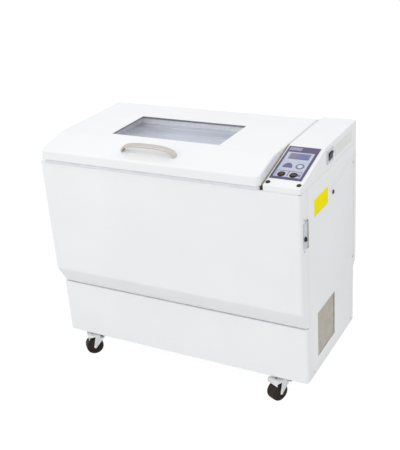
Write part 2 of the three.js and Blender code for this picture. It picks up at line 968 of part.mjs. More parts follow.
function lidOutline(inset, low) {
  const slope = lidRise / lidRun;
  const drop = inset * Math.hypot(1, slope);
  const front = lidFront + inset;
  return outline([
    [front, low],
    [cabinet.depth - inset, low],
    [cabinet.depth - inset, headTop - inset],
    [lidFront + (lidRise - inset + drop) / slope, headTop - inset],
    [front, lidFrontTop + inset * slope - drop],
  ]);
}

// The window's opening, grown sideways by a margin, between two heights
function windowBox(margin, z) {
  return box(
    [windowMiddle - windowOpening.width / 2 - margin, windowMiddle + windowOpening.width / 2 + margin],
    [windowOpening.front - margin, windowOpening.front + windowOpening.depth + margin],
    z,
  );
}

function lidShell() {
  const outer = prism('x', lidOutline(0, lidBottom), lidLeft, lidRight);
  const hollow = prism('x', lidOutline(sheet, lidBottom - overrun), lidLeft + sheet, lidRight - sheet);
  return outer.subtract(hollow).subtract(windowBox(0, [headTop - overrun, headTop + overrun]));
}

const outerPaneTop = headTop - sheet - seatGap;
const outerPaneBottom = outerPaneTop - windowOpening.glass;
const linerBottom = lidBottom + lid.linerLift;
const linerTop = linerBottom + sheet;
const innerPaneTop = outerPaneBottom - windowOpening.paneGap;
const innerPaneBottom = innerPaneTop - windowOpening.glass;
const ledgeTop = innerPaneBottom - seatGap; // the ledge in the throat that the inner pane lies on

function lidLiner() {
  const inset = sheet + lid.linerGap;
  const plate = box(
    [lidLeft + inset, lidRight - inset],
    [lidFront + inset, cabinet.depth - inset],
    [linerBottom, linerTop],
  );
  const frame = windowBox(windowOpening.margin, [linerBottom, outerPaneBottom - seatGap]);
  const throat = windowBox(windowOpening.margin - sheet, [ledgeTop, headTop]);
  const below = windowBox(windowOpening.margin - sheet, [linerBottom - overrun, ledgeTop - sheet]);
  const hole = windowBox(0, [linerBottom - overrun, headTop]);
  return plate.add(frame).subtract(throat).subtract(below).subtract(hole);
}

function outerPane() {
  return windowBox(windowOpening.margin, [outerPaneBottom, outerPaneTop]);
}

function innerPane() {
  const margin = windowOpening.margin - sheet - seatGap;
  return windowBox(margin, [innerPaneBottom, innerPaneTop]);
}

function lidGasket() {
  const x = [lidLeft + gasket.leftInset, lidRight - gasket.rightInset];
  const y = [gasket.inset, cabinet.depth - gasket.inset];
  const z = [deckTop + seatGap, linerBottom - seatGap];
  const hollow = box(
    [x[0] + gasket.width, x[1] - gasket.width],
    [y[0] + gasket.width, y[1] - gasket.width],
    [z[0] - overrun, z[1] + overrun],
  );
  return box(x, y, z).subtract(hollow);
}

// The arch of the handle, seen from the front: half a rounded rectangle of a chosen squareness
function archPoints(halfLength, height) {
  const points = [];
  for (let i = 0; i <= handle.steps; i += 1) {
    const turn = (Math.PI * i) / handle.steps;
    const power = 2 / handle.squareness;
    const x = halfLength * Math.sign(Math.cos(turn)) * Math.abs(Math.cos(turn)) ** power;
    points.push([x, height * Math.abs(Math.sin(turn)) ** power]);
  }
  return points;
}

function addHandle() {
  const outer = archPoints(handle.length / 2, handle.height);
  const inner = archPoints(handle.length / 2 - handle.thickness, handle.height - handle.thickness);
  const points = [...outer, ...inner.reverse()].map(([x, z]) => [z, x]);
  const solid = prism('y', outline(points), -handle.width / 2, handle.width / 2);
  const mesh = add('lid_handle', solid, satinNickel, lidSlope);
  mesh.position.set(windowMiddle, Math.hypot(lidRun, lidRise) * handle.slopeShare, seatGap);
}

// Hinge: two leaves that share a row of knuckles, and the pin through them

const knuckleLength = (lidRight - lidLeft - hinge.inset * 2) / hinge.knuckles;

function hingeLeaf(owner, z, tabZ) {
  const left = lidLeft + hinge.inset;
  const y = [cabinet.depth + seatGap, cabinet.depth + seatGap + hinge.leafSheet];
  const parts = [box([left, left + knuckleLength * hinge.knuckles], y, z)];
  for (let i = owner; i < hinge.knuckles; i += 2) {
    const from = left + knuckleLength * i + hinge.endGap / 2;
    const to = left + knuckleLength * (i + 1) - hinge.endGap / 2;
    parts.push(box([from, to], y, tabZ));
    parts.push(bar('x', hinge.knuckleRadius, hingeY, hingeZ, from, to, 16));
  }
  const bore = bar('x', hinge.pinRadius + hinge.pinGap, hingeY, hingeZ, 0, cabinet.width, 12);
  return joined(parts).subtract(bore);
}

function fixedLeaf() {
  const high = hingeZ - hinge.leafGap - seatGap;
  return hingeLeaf(0, [high - hinge.leafHeight, high], [high - overrun, hingeZ]);
}

function lidLeaf() {
  const low = hingeZ + hinge.leafGap;
  return hingeLeaf(1, [low, low + hinge.leafHeight], [hingeZ, low + overrun]);
}

function hingePin() {
  const left = lidLeft + hinge.inset;
  return bar('x', hinge.pinRadius, hingeY, hingeZ, left, left + knuckleLength * hinge.knuckles, 12);
}

// Drive

function drivePlate() {
  const x = [sheet + seatGap, cabinet.width - sheet - seatGap];
  const y = [mainCrank.y - drive.plateFrontMargin, idlerLeft.y + drive.plateRearMargin];
  const plate = box(x, y, [plateLow, plateTop]);
  const folds = [
    box([x[0], x[0] + drive.plateSheet], y, [plateLow - drive.plateFold, plateTop]),
    box([x[1] - drive.plateSheet, x[1]], y, [plateLow - drive.plateFold, plateTop]),
  ];
  const tubes = crankPlaces.map((place) =>
    bar('z', drive.tubeRadius, place.x, place.y, plateLow, tubeTop),
  );
  const bores = crankPlaces.map((place) =>
    bar('z', drive.shaftRadius + drive.shaftGap, place.x, place.y, plateLow - overrun, tubeTop + overrun),
  );
  return joined([plate, ...folds, ...tubes]).subtract(joined(bores));
}

// A crank: its shaft, its disc over the bearing tube, and its pin in front of the shaft
function crank(place, shaftBottom, heavy) {
  const shaft = bar('z', drive.shaftRadius, place.x, place.y, shaftBottom, discTop);
  const round = bar('z', drive.discRadius, place.x, place.y, discBottom, discTop);
  const pin = bar(
    'z',
    drive.pinRadius,
    place.x,
    place.y - orbitRadius,
    discBottom,
    discTop + drive.pinHeight,
  );
  if (!heavy) return joined([shaft, round, pin]);
  const counter = bar('z', drive.counterRadius, place.x, place.y, discBottom, discTop).subtract(
    box(
      [place.x - drive.counterRadius * 2, place.x + drive.counterRadius * 2],
      [place.y - drive.counterRadius * 2, place.y],
      [discBottom - overrun, discTop + overrun],
    ),
  );
  return joined([shaft, round, pin, counter]);
}

function idlerCrank(place) {
  return crank(place, plateLow - drive.idlerTail, false);
}

// A flanged belt pulley about a vertical axis, with a bore or a closed shaft line
function pulleySolid(radius, bore) {
  const rim = radius + pulley.flangeProud;
  const top = pulley.height;
  return turned([
    [bore, 0],
    [rim, 0],
    [rim, pulley.flange],
    [radius, pulley.flange],
    [radius, top - pulley.flange],
    [rim, top - pulley.flange],
    [rim, top],
    [bore, top],
  ]);
}

function drivenPulley() {
  const solid = pulleySolid(pulley.drivenRadius, drive.shaftRadius + seatGap);
  return moved(solid, mainCrank.x, mainCrank.y, pulleyBottom);
}

function motorPulley() {
  const wheel = moved(pulleySolid(pulley.motorRadius, 0), motorPlace.x, motorPlace.y, pulleyBottom);
  const shaft = bar(
    'z',
    motorSize.shaftRadius,
    motorPlace.x,
    motorPlace.y,
    motorTop - motorSize.socket + overrun,
    pulleyBottom + pulley.height,
  );
  return wheel.add(shaft);
}

// The loop round both pulleys, grown from their faces by a distance
function beltOutline(grow) {
  const driven = pulley.drivenRadius + grow;
  const motor = pulley.motorRadius + grow;
  const lean = Math.acos((driven - motor) / pulley.motorReach);
  const shape = new THREE.Shape();
  shape.absarc(mainCrank.x, mainCrank.y, driven, lean, Math.PI * 2 - lean);
  shape.absarc(motorPlace.x, motorPlace.y, motor, -lean, lean);
  return shape;
}

function driveBelt() {
  const low = pulleyBottom + pulley.flange + belt.sideGap;
  const high = pulleyBottom + pulley.height - pulley.flange - belt.sideGap;
  const outer = prism('z', beltOutline(belt.gap + belt.thickness), low, high);
  return outer.subtract(prism('z', beltOutline(belt.gap), low - overrun, high + overrun));
}

function motorSolid() {
  const { x, y } = motorPlace;
  const half = motorSize.radius + motorSize.footExtra;
  const footTop = motorBottom + motorSize.footHeight;
  const foot = box([x - half, x + half], [y - half, y + half], [motorBottom, footTop]);
  const body = bar('z', motorSize.radius, x, y, motorBottom, motorTop, 32);
  const boreRadius = motorSize.shaftRadius + seatGap;
  const socket = bar('z', boreRadius, x, y, motorTop - motorSize.socket, motorTop + overrun);
  return foot.add(body).subtract(socket);
}

function platformSolid() {
  const y = chamberY - orbitRadius;
  const low = discTop + drive.pinHeight + platform.pinGap;
  const halfWidth = (chamberRight - chamber.left) / 2 - orbitRadius - platform.sideGap;
  const halfDepth = (chamberRear - chamber.front) / 2 - orbitRadius - platform.frontGap;
  const tray = box(
    [chamberX - halfWidth, chamberX + halfWidth],
    [y - halfDepth, y + halfDepth],
    [low, low + platform.rim],
  );
  const hollow = box(
    [chamberX - halfWidth + platform.sheet, chamberX + halfWidth - platform.sheet],
    [y - halfDepth + platform.sheet, y + halfDepth - platform.sheet],
    [low + platform.sheet, low + platform.rim + overrun],
  );
  const cupBottom = discTop + platform.cupGap;
  const cups = crankPlaces.map((place) =>
    bar('z', platform.cupRadius, place.x, place.y - orbitRadius, cupBottom, low + platform.sheet),
  );
  const bores = crankPlaces.map((place) =>
    bar('z', drive.pinRadius + platform.pinGap, place.x, place.y - orbitRadius, discTop, low),
  );
  return joined([tray.subtract(hollow), ...cups]).subtract(joined(bores));
}

// Air and heat

const fanRight = chamberRight - fan.wallGap;
const fanLeft = fanRight - fan.bladeDepth;
const fanMotorLeft = insulationRight + seatGap;

function fanWheel() {
  const shaft = bar('x', fan.shaftRadius, chamberY, fanZ, fanLeft, fanMotorLeft + fan.socket - seatGap, 20);
  const hub = bar('x', fan.hubRadius, chamberY, fanZ, fanLeft, fanRight, 24);
  const blades = [];
  for (let i = 0; i < fan.blades; i += 1) {
    const blade = box([fanLeft, fanRight], [0, fan.radius], [-fan.bladeSheet / 2, fan.bladeSheet / 2]);
    blades.push(blade.rotate([(360 * i) / fan.blades, 0, 0]).translate([0, chamberY, fanZ]));
  }
  return joined([hub, shaft, ...blades]);
}

function fanMotor() {
  const flange = bar('x', fan.flangeRadius, chamberY, fanZ, fanMotorLeft, fanMotorLeft + fan.flange);
  const body = bar('x', fan.motorRadius, chamberY, fanZ, fanMotorLeft, fanMotorLeft + fan.motorLength);
  const boreRadius = fan.shaftRadius + fan.shaftGap;
  const socket = bar('x', boreRadius, chamberY, fanZ, fanMotorLeft - overrun, fanMotorLeft + fan.socket, 20);
  return flange.add(body).subtract(socket);
}

function heaterRing() {
  const x = (fanLeft + fanRight) / 2;
  const ring = new THREE.TorusGeometry(heaterSize.radius, heaterSize.tube, 8, 28);
  ring.rotateY(Math.PI / 2);
  ring.translate(x, chamberY, fanZ);
  const studZ = fanZ - heaterSize.radius;
  const studs = [-1, 1].map((side) =>
    bar(
      'x',
      heaterSize.tube,
      chamberY + side * heaterSize.studSpread,
      studZ + heaterSize.tube / 2,
      x,
      chamberRight - seatGap,
      8,
    ),
  );
  return joined([solidOf(ring), ...studs]);
}

// Castors, each drawn about its stem, with the wheel trailing to the front

const crownBottom = castor.wheelRadius * 2 + castor.crownClearance;
const crownTop = crownBottom + castor.crownHeight;
const forkTop = crownTop + castor.domeHeight;
const legInside = castor.wheelWidth / 2 + castor.sideGap;
const legOutside = legInside + castor.legSheet;

function castorPlaces() {
  return [
    { name: 'front_left', x: castor.insetX, y: castor.insetY, braked: true },
    { name: 'front_right', x: cabinet.width - castor.insetX, y: castor.insetY, braked: true },
    { name: 'rear_left', x: castor.insetX, y: cabinet.depth - castor.insetY, braked: false },
    { name: 'rear_right', x: cabinet.width - castor.insetX, y: cabinet.depth - castor.insetY, braked: false },
  ];
}

function legOutline() {
  const axleY = -castor.trail;
  const axleZ = castor.wheelRadius;
  const tipHalf = castor.legEnd * castor.legTipWidthShare;
  const tipZ = axleZ - castor.legEnd * castor.legTipDropShare;
  return outline([
    [axleY - tipHalf, tipZ],
    [axleY + tipHalf, tipZ],
    [axleY + castor.legEnd, axleZ],
    [castor.legTopHalf, crownBottom],
    [castor.legTopHalf, crownTop],
    [-castor.legTopHalf, crownTop],
    [-castor.legTopHalf - castor.legEnd, crownBottom],
    [axleY - castor.legEnd, axleZ],
  ]);
}

const brakePin = {
  x: legOutside + brake.standOff + brake.knuckleRadius,
  z: crownTop - brake.knuckleRadius,
};

function forkSolid(braked) {
  const legs = [
    prism('x', legOutline(), -legOutside, -legInside),
    prism('x', legOutline(), legInside, legOutside),
  ];
  const crown = box(
    [-legOutside, legOutside],
    [-castor.crownFront, castor.legTopHalf],
    [crownBottom, crownTop],
  );
  const apron = box(
    [-legOutside, legOutside],
    [-castor.crownFront, -castor.crownFront + castor.legSheet],
    [castor.wheelRadius * 2 + castor.apronGap, crownTop],
  );
  const rivet = bar(
    'z',
    castor.rivetRadius,
    0,
    -castor.rivetForward,
    crownBottom,
    crownTop + castor.rivetHeight,
    16,
  );
  const dome = turned(
    [
      [0, crownTop - castor.crownHeight / 2],
      [castor.domeRadius, crownTop - castor.crownHeight / 2],
      [castor.domeRadius, crownTop],
      [castor.domeRadius * castor.domeTopShare, forkTop],
      [0, forkTop],
    ],
    20,
  );
  const kingpin = bar('z', castor.kingpinRadius, 0, 0, crownTop, forkTop + castor.kingpinLength, 12);
  const axle = bar(
    'x',
    castor.axleRadius,
    -castor.trail,
    castor.wheelRadius,
    -legOutside - castor.axleHead,
    legOutside + castor.axleHead,
    12,
  );
  const parts = [...legs, crown, apron, rivet, dome, kingpin, axle];
  if (braked) parts.push(...brakeEars());
  return joined(parts);
}

// Two ears on the fork's outer leg, and the pin across them that carries the brake lever
function brakeEars() {
  const half = brake.length / 2 + castor.runningGap;
  const ears = [-1, 1].map((side) => {
    const from = side > 0 ? half : -half - brake.earSheet;
    return box(
      [legInside, brakePin.x + brake.pinRadius],
      [from, from + brake.earSheet],
      [brakePin.z - brake.knuckleRadius, brakePin.z + brake.knuckleRadius],
    );
  });
  const pin = bar('y', brake.pinRadius, brakePin.z, brakePin.x, -half - seatGap, half + seatGap, 12);
  return [...ears, pin];
}

function brakeLever() {
  const half = brake.length / 2;
  const knuckle = bar('y', brake.knuckleRadius, brakePin.z, brakePin.x, -half, half, 16);
  const pedal = box(
    [brakePin.x, brakePin.x + brake.pedalReach],
    [-half, half],
    [brakePin.z + brake.knuckleRadius - brake.pedalSheet, brakePin.z + brake.knuckleRadius],
  );
  const bore = bar('y', brake.pinRadius + castor.runningGap, brakePin.z, brakePin.x, -half * 2, half * 2, 12);
  return knuckle.add(pedal).subtract(bore);
}

// The wheel, turned about the Z axis and laid over so that it turns about X
function wheelSolid() {
  const bore = castor.axleRadius + castor.runningGap;
  const half = castor.wheelWidth / 2;
  const { wheelRadius, wheelShoulder, hubRadius, hubStep } = castor;
  const solid = turned(
    [
      [bore, -half],
      [hubRadius, -half],
      [hubRadius + hubStep, -half + hubStep],
      [wheelRadius - wheelShoulder, -half + hubStep],
      [wheelRadius, -half + wheelShoulder],
      [wheelRadius, half - wheelShoulder],
      [wheelRadius - wheelShoulder, half - hubStep],
      [hubRadius + hubStep, half - hubStep],
      [hubRadius, half],
      [bore, half],
    ],
    24,
  );
  return moved(solid.rotate([0, 90, 0]), 0, -castor.trail, castor.wheelRadius);
}

function addCastor({ name, x, y, braked }) {
  const group = new THREE.Group();
  group.position.set(x, y, 0);
  group.rotation.z = THREE.MathUtils.degToRad(castor.turns[name]);
  shaker.add(group);
  add(`castor_fork_${name}`, forkSolid(braked), brightZinc, group);
  add(`castor_wheel_${name}`, wheelSolid(), wheelBlack, group);
  if (braked) add(`castor_brake_${name}`, brakeLever(), warmGrey, group);
}

// The whole object

add('base_pan', basePanSolid(), whitePaint);
add('front_cover', frontCover(), whitePaint);
add('front_skirt', frontSkirt(), whitePaint);
add('side_panel_left', sidePanel(1), whitePaint);
add('side_panel_right', rightPanel(), whitePaint);
add('back_panel', backPanelSolid(), whitePaint);
add('back_cover', backCoverSolid(), whitePaint);
add('deck', deckSolid(), whitePaint);
add('chamber_tub', chamberTub(), steel);
add('insulation', insulationBlock(), foam);
add('vent_grille', ventGrille(), warmGrey);
add(
  'side_plate',
  plateOnRight(
    sidePlate.front,
    sidePlate.width,
    bodyBottom + sidePlate.bottom,
    sidePlate.height,
    sidePlate.sheet,
  ),
  yellow,
);
add('side_port_plug', portPlugSolid(), darkBrown);
add('side_latch_plate', latchPlate(), blueGrey);
add('side_latch_keeper', latchKeeper(), warmGrey);
add('side_latch_knob', latchKnob(), darkBrown);

add('control_housing', controlHousing(), whitePaint);
add('control_panel', controlPanel(), purple, housingSlope);
add('display_window', displayWindow(), displayBlue, housingSlope);
add('key_left', keySolid(domeOutline(-1, 0)), keyPurple, housingSlope);
add('key_right', keySolid(domeOutline(1, 0)), keyPurple, housingSlope);
add('key_start', keySolid(disc(startKey.radius, startKey.x, startKey.y)), blueGrey, housingSlope);
addRocker('rocker_left', rocker.leftX);
addRocker('rocker_right', rocker.rightX);
addScrewCap('screw_cap_left', screwCap.sideInset);
addScrewCap('screw_cap_right', cabinet.width - housingLeft - screwCap.sideInset);
add('mains_switch_frame', mainsFrame(), blueGrey);
addMainsRocker();
add(
  'housing_side_plate',
  plateOnRight(
    labelStrip.front,
    cabinet.depth - labelStrip.front - labelStrip.back,
    deckTop + labelStrip.bottom,
    labelStrip.height,
    labelStrip.sheet,
  ),
  paleGrey,
);

add('lid_shell', lidShell(), whitePaint);
add('lid_liner', lidLiner(), steel);
add('lid_gasket', lidGasket(), rubber);
add('window_outer_pane', outerPane(), glass);
add('window_inner_pane', innerPane(), glass);
addHandle();
add('hinge_fixed_leaf', fixedLeaf(), steel);
add('hinge_lid_leaf', lidLeaf(), steel);
add('hinge_pin', hingePin(), steel);

add('drive_plate', drivePlate(), castIron);
add('motor', motorSolid(), castIron);
add('motor_pulley', motorPulley(), steel);
add('drive_belt', driveBelt(), blackRubber);
add('driven_pulley', drivenPulley(), steel);
add('main_crank', crank(mainCrank, pulleyBottom - pulley.tail, true), steel);
add('idler_crank_left', idlerCrank(idlerLeft), steel);
add('idler_crank_right', idlerCrank(idlerRight), steel);
add('platform', platformSolid(), steel);
add('fan_motor', fanMotor(), castIron);
add('fan_wheel', fanWheel(), steel);
add('heater', heaterRing(), satinNickel);

for (const place of castorPlaces()) addCastor(place);

export default shaker;
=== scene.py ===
import json
import math
import bmesh
import bpy
from mathutils import Matrix, Vector


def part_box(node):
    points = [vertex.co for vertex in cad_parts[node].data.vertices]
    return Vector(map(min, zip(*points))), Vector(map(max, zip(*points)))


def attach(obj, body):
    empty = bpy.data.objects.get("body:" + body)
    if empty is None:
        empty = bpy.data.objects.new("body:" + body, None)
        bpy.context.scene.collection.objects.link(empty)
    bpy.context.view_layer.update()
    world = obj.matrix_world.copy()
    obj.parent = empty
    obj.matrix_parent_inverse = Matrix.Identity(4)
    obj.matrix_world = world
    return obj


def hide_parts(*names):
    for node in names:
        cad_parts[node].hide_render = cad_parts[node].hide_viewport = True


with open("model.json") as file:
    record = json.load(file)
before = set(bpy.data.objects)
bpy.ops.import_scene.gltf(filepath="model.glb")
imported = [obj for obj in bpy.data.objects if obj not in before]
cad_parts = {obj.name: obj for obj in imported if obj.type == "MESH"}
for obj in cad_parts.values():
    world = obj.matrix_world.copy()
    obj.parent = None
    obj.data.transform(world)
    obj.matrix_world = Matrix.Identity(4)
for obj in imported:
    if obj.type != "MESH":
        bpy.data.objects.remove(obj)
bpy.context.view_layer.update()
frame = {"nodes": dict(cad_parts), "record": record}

record = frame["record"]
bodyOfNode = {node: body for body, nodes in record["behaviour"]["bodies"].items() for node in nodes}
slotOfNode = {part["node"]: part["material_slot"] for part in record["subparts"]}
print("frame loaded,", len(frame["nodes"]), "nodes")

# places: cabinet millimetres (left side, front face, floor) to the frame's metres
cabinetZero = (575.05, 292.55)
cabinetWidth = 1128
slopeAngle = math.atan2(66, 257)  # control housing
lidAngle = math.atan2(33, 136)
housingZero = (985.5, 0, 940)
lidZero = (0, -13, 973)


def place(x, y, z):
    return Vector(((x - cabinetZero[0]) / 1000, (y - cabinetZero[1]) / 1000, z / 1000))


millimetres = Matrix.Scale(0.001, 4)
backUpRight = Matrix(((0, 0, 1, 0), (1, 0, 0, 0), (0, 1, 0, 0), (0, 0, 0, 1)))  # where a shape's own three ways go
backRightUp = Matrix(((0, 1, 0, 0), (1, 0, 0, 0), (0, 0, 1, 0), (0, 0, 0, 1)))


def slopeMatrix(zero, angle):
    return Matrix.Translation(place(*zero)) @ Matrix.Rotation(angle, 4, "X") @ millimetres


housingSlope = slopeMatrix(housingZero, slopeAngle)
lidSlope = slopeMatrix(lidZero, lidAngle)
cabinetMatrix = Matrix.Translation(place(0, 0, 0)) @ millimetres
profileMatrix = Matrix.Translation(place(0, 0, 0)) @ backUpRight @ millimetres
sideMatrix = Matrix.Translation(place(cabinetWidth, 0, 0)) @ backUpRight @ millimetres
keeperMatrix = Matrix.Translation(place(cabinetWidth, 0, 0)) @ backRightUp @ millimetres


# finishes
def newFinish(name, roughness, metallic=0.0):
    finish = bpy.data.materials.new(name)
    finish.use_nodes = True
    nodes, links = finish.node_tree.nodes, finish.node_tree.links
    shader = nodes["Principled BSDF"]
    shader.inputs["Roughness"].default_value = roughness
    shader.inputs["Metallic"].default_value = metallic
    where = nodes.new("ShaderNodeTexCoord")
    return finish, nodes, links, shader, where.outputs["Object"]


def stretched(nodes, links, source, scale, turn=(0, 0, 0)):
    mapping = nodes.new("ShaderNodeMapping")
    mapping.inputs["Scale"].default_value = scale
    mapping.inputs["Rotation"].default_value = turn
    links.new(source, mapping.inputs["Vector"])
    return mapping.outputs["Vector"]


def noiseOf(nodes, links, source, scale, detail=3.0, rough=0.5):
    noise = nodes.new("ShaderNodeTexNoise")
    noise.inputs["Scale"].default_value = scale
    noise.inputs["Detail"].default_value = detail
    noise.inputs["Roughness"].default_value = rough
    links.new(source, noise.inputs["Vector"])
    return noise.outputs["Fac"]


def tones(nodes, links, factor, low, high, start=0.35, end=0.65):
    ramp = nodes.new("ShaderNodeValToRGB")
    ramp.color_ramp.elements[0].position = start
    ramp.color_ramp.elements[1].position = end
    ramp.color_ramp.elements[0].color = (*low, 1)
    ramp.color_ramp.elements[1].color = (*high, 1)
    links.new(factor, ramp.inputs["Fac"])
    return ramp.outputs["Color"]


def between(nodes, links, factor, low, high):
    spread = nodes.new("ShaderNodeMapRange")
    spread.inputs["To Min"].default_value = low
    spread.inputs["To Max"].default_value = high
    links.new(factor, spread.inputs["Value"])
    return spread.outputs["Result"]


def bumped(nodes, links, shader, height, strength, distance):
    bump = nodes.new("ShaderNodeBump")
    bump.inputs["Strength"].default_value = strength
    bump.inputs["Distance"].default_value = distance
    links.new(height, bump.inputs["Height"])
    links.new(bump.outputs["Normal"], shader.inputs["Normal"])


def shade(color, share):
    return tuple(min(1.0, c * share) for c in color)


def fromScreen(r, g, b):  # a colour as read off a screen, 0 to 255
    return tuple((c / 12.92) if c <= 0.04045 else ((c + 0.055) / 1.055) ** 2.4 for c in (r / 255, g / 255, b / 255))


def paintedSheet(name, color, roughness=0.4):
    finish, nodes, links, shader, spot = newFinish(name, roughness)
    cloud = noiseOf(nodes, links, spot, 2.2, 3)
    links.new(tones(nodes, links, cloud, shade(color, 0.975), shade(color, 1.01)), shader.inputs["Base Color"])
    wear = noiseOf(nodes, links, spot, 30, 2)
    links.new(between(nodes, links, wear, roughness - 0.06, roughness + 0.06), shader.inputs["Roughness"])
    bumped(nodes, links, shader, noiseOf(nodes, links, spot, 700, 2), 0.08, 0.0004)
    shader.inputs["Specular IOR Level"].default_value = 0.4
    return finish


def brushedMetal(name, color, roughness, along=(1, 0, 0), grain=900, contrast=0.06):
    finish, nodes, links, shader, spot = newFinish(name, roughness, 1.0)
    scale = [grain if not a else 6 for a in along]
    lines = noiseOf(nodes, links, stretched(nodes, links, spot, scale), 1, 3)
    cloud = noiseOf(nodes, links, spot, 9, 2)
    both = nodes.new("ShaderNodeMath")
    both.operation = "ADD"
    links.new(lines, both.inputs[0])
    links.new(cloud, both.inputs[1])
    dark, light = shade(color, 1 - contrast), shade(color, 1 + contrast)
    links.new(tones(nodes, links, both.outputs[0], dark, light, 0.75, 1.25), shader.inputs["Base Color"])
    links.new(between(nodes, links, lines, roughness - 0.07, roughness + 0.09), shader.inputs["Roughness"])
    bumped(nodes, links, shader, lines, 0.12, 0.0002)
    return finish


def mouldedPlastic(name, color, roughness=0.45, grain=1500, spread=0.06, gloss=0.5):
    finish, nodes, links, shader, spot = newFinish(name, roughness)
    shader.inputs["Specular IOR Level"].default_value = gloss
    cloud = noiseOf(nodes, links, spot, 45, 3)
    dark, light = shade(color, 1 - spread), shade(color, 1 + spread)
    links.new(tones(nodes, links, cloud, dark, light), shader.inputs["Base Color"])
    wear = noiseOf(nodes, links, spot, 120, 2)
    links.new(between(nodes, links, wear, roughness - 0.05, roughness + 0.07), shader.inputs["Roughness"])
    bumped(nodes, links, shader, noiseOf(nodes, links, spot, grain, 2), 0.15, 0.0002)
    return finish


def platedSteel(name, color, roughness):
    finish, nodes, links, shader, spot = newFinish(name, roughness, 0.25)
    bloom = noiseOf(nodes, links, spot, 60, 3)
    links.new(tones(nodes, links, bloom, shade(color, 0.94), shade(color, 1.02)), shader.inputs["Base Color"])
    links.new(between(nodes, links, bloom, roughness - 0.08, roughness + 0.1), shader.inputs["Roughness"])
    bumped(nodes, links, shader, noiseOf(nodes, links, spot, 400, 2), 0.1, 0.0002)
    return finish


def castMetal(name, color, roughness=0.65):
    finish, nodes, links, shader, spot = newFinish(name, roughness, 0.4)
    cloud = noiseOf(nodes, links, spot, 14, 4)
    links.new(tones(nodes, links, cloud, shade(color, 0.8), shade(color, 1.2)), shader.inputs["Base Color"])
    bumped(nodes, links, shader, noiseOf(nodes, links, spot, 260, 4), 0.5, 0.001)
    return finish


def sealRubber(name, color, roughness=0.8):
    finish, nodes, links, shader, spot = newFinish(name, roughness)
    cloud = noiseOf(nodes, links, spot, 25, 4)
    links.new(tones(nodes, links, cloud, shade(color, 0.96), shade(color, 1.03)), shader.inputs["Base Color"])
    bumped(nodes, links, shader, noiseOf(nodes, links, spot, 600, 3), 0.3, 0.0004)
    shader.inputs["Specular IOR Level"].default_value = 0.3
    return finish


def foamBlock(name, color):
    finish, nodes, links, shader, spot = newFinish(name, 0.95)
    cells = nodes.new("ShaderNodeTexVoronoi")
    cells.inputs["Scale"].default_value = 260
    links.new(spot, cells.inputs["Vector"])
    light, dark = shade(color, 1.05), shade(color, 0.75)
    links.new(tones(nodes, links, cells.outputs["Distance"], light, dark, 0.1, 0.7), shader.inputs["Base Color"])
    bumped(nodes, links, shader, cells.outputs["Distance"], 0.5, 0.001)
    return finish


def paneGlass(name, color, alpha, roughness):
    finish, nodes, links, shader, spot = newFinish(name, roughness)
    haze = noiseOf(nodes, links, stretched(nodes, links, spot, (3, 9, 3), (0, 0, 0.6)), 1.6, 3)
    links.new(tones(nodes, links, haze, shade(color, 0.85), shade(color, 1.12)), shader.inputs["Base Color"])
    links.new(between(nodes, links, haze, alpha - 0.06, alpha + 0.06), shader.inputs["Alpha"])
    shader.inputs["Specular IOR Level"].default_value = 0.7
    return finish


def acrossFrame(nodes, links, spot, start, end):  # 0 to 1 along the frame's X, in metres
    parts = nodes.new("ShaderNodeSeparateXYZ")
    links.new(spot, parts.inputs["Vector"])
    ramp = nodes.new("ShaderNodeMapRange")
    ramp.inputs["From Min"].default_value = start
    ramp.inputs["From Max"].default_value = end
    links.new(parts.outputs["X"], ramp.inputs["Value"])
    return ramp.outputs["Result"]


def streakedPane(name, left, right):  # darker at the left and brighter to the right as a painted reflection, with fine streaks along its length
    finish, nodes, links, shader, spot = newFinish(name, 0.22, 0.15)
    across = acrossFrame(nodes, links, spot, -0.33, 0.17)
    streaks = noiseOf(nodes, links, stretched(nodes, links, spot, (5, 120, 5), (0, 0, 0.12)), 1.0, 4, 0.65)
    cloud = noiseOf(nodes, links, stretched(nodes, links, spot, (3, 9, 3)), 1.2, 3)
    total = nodes.new("ShaderNodeMath")
    total.operation = "MULTIPLY_ADD"
    total.inputs[1].default_value = 0.55
    links.new(streaks, total.inputs[0])
    links.new(across, total.inputs[2])
    more = nodes.new("ShaderNodeMath")
    more.operation = "MULTIPLY_ADD"
    more.inputs[1].default_value = 0.4
    links.new(cloud, more.inputs[0])
    links.new(total.outputs[0], more.inputs[2])
    links.new(tones(nodes, links, more.outputs[0], left, right, 0.35, 1.0), shader.inputs["Base Color"])
    links.new(between(nodes, links, streaks, 0.14, 0.36), shader.inputs["Roughness"])
    bumped(nodes, links, shader, streaks, 0.2, 0.0006)
    return finish


# display glass colour goes from one tone at its left to another at its right
def fadedDisplay(name, left, right):
    finish, nodes, links, shader, spot = newFinish(name, 0.16)
    across = acrossFrame(nodes, links, spot, 0.44, 0.52)
    cloud = noiseOf(nodes, links, spot, 70, 2)
    total = nodes.new("ShaderNodeMath")
    total.operation = "MULTIPLY_ADD"
    total.inputs[1].default_value = 0.3
    links.new(cloud, total.inputs[0])
    links.new(across, total.inputs[2])
    links.new(tones(nodes, links, total.outputs[0], left, right, 0.2, 0.9), shader.inputs["Base Color"])
    return finish


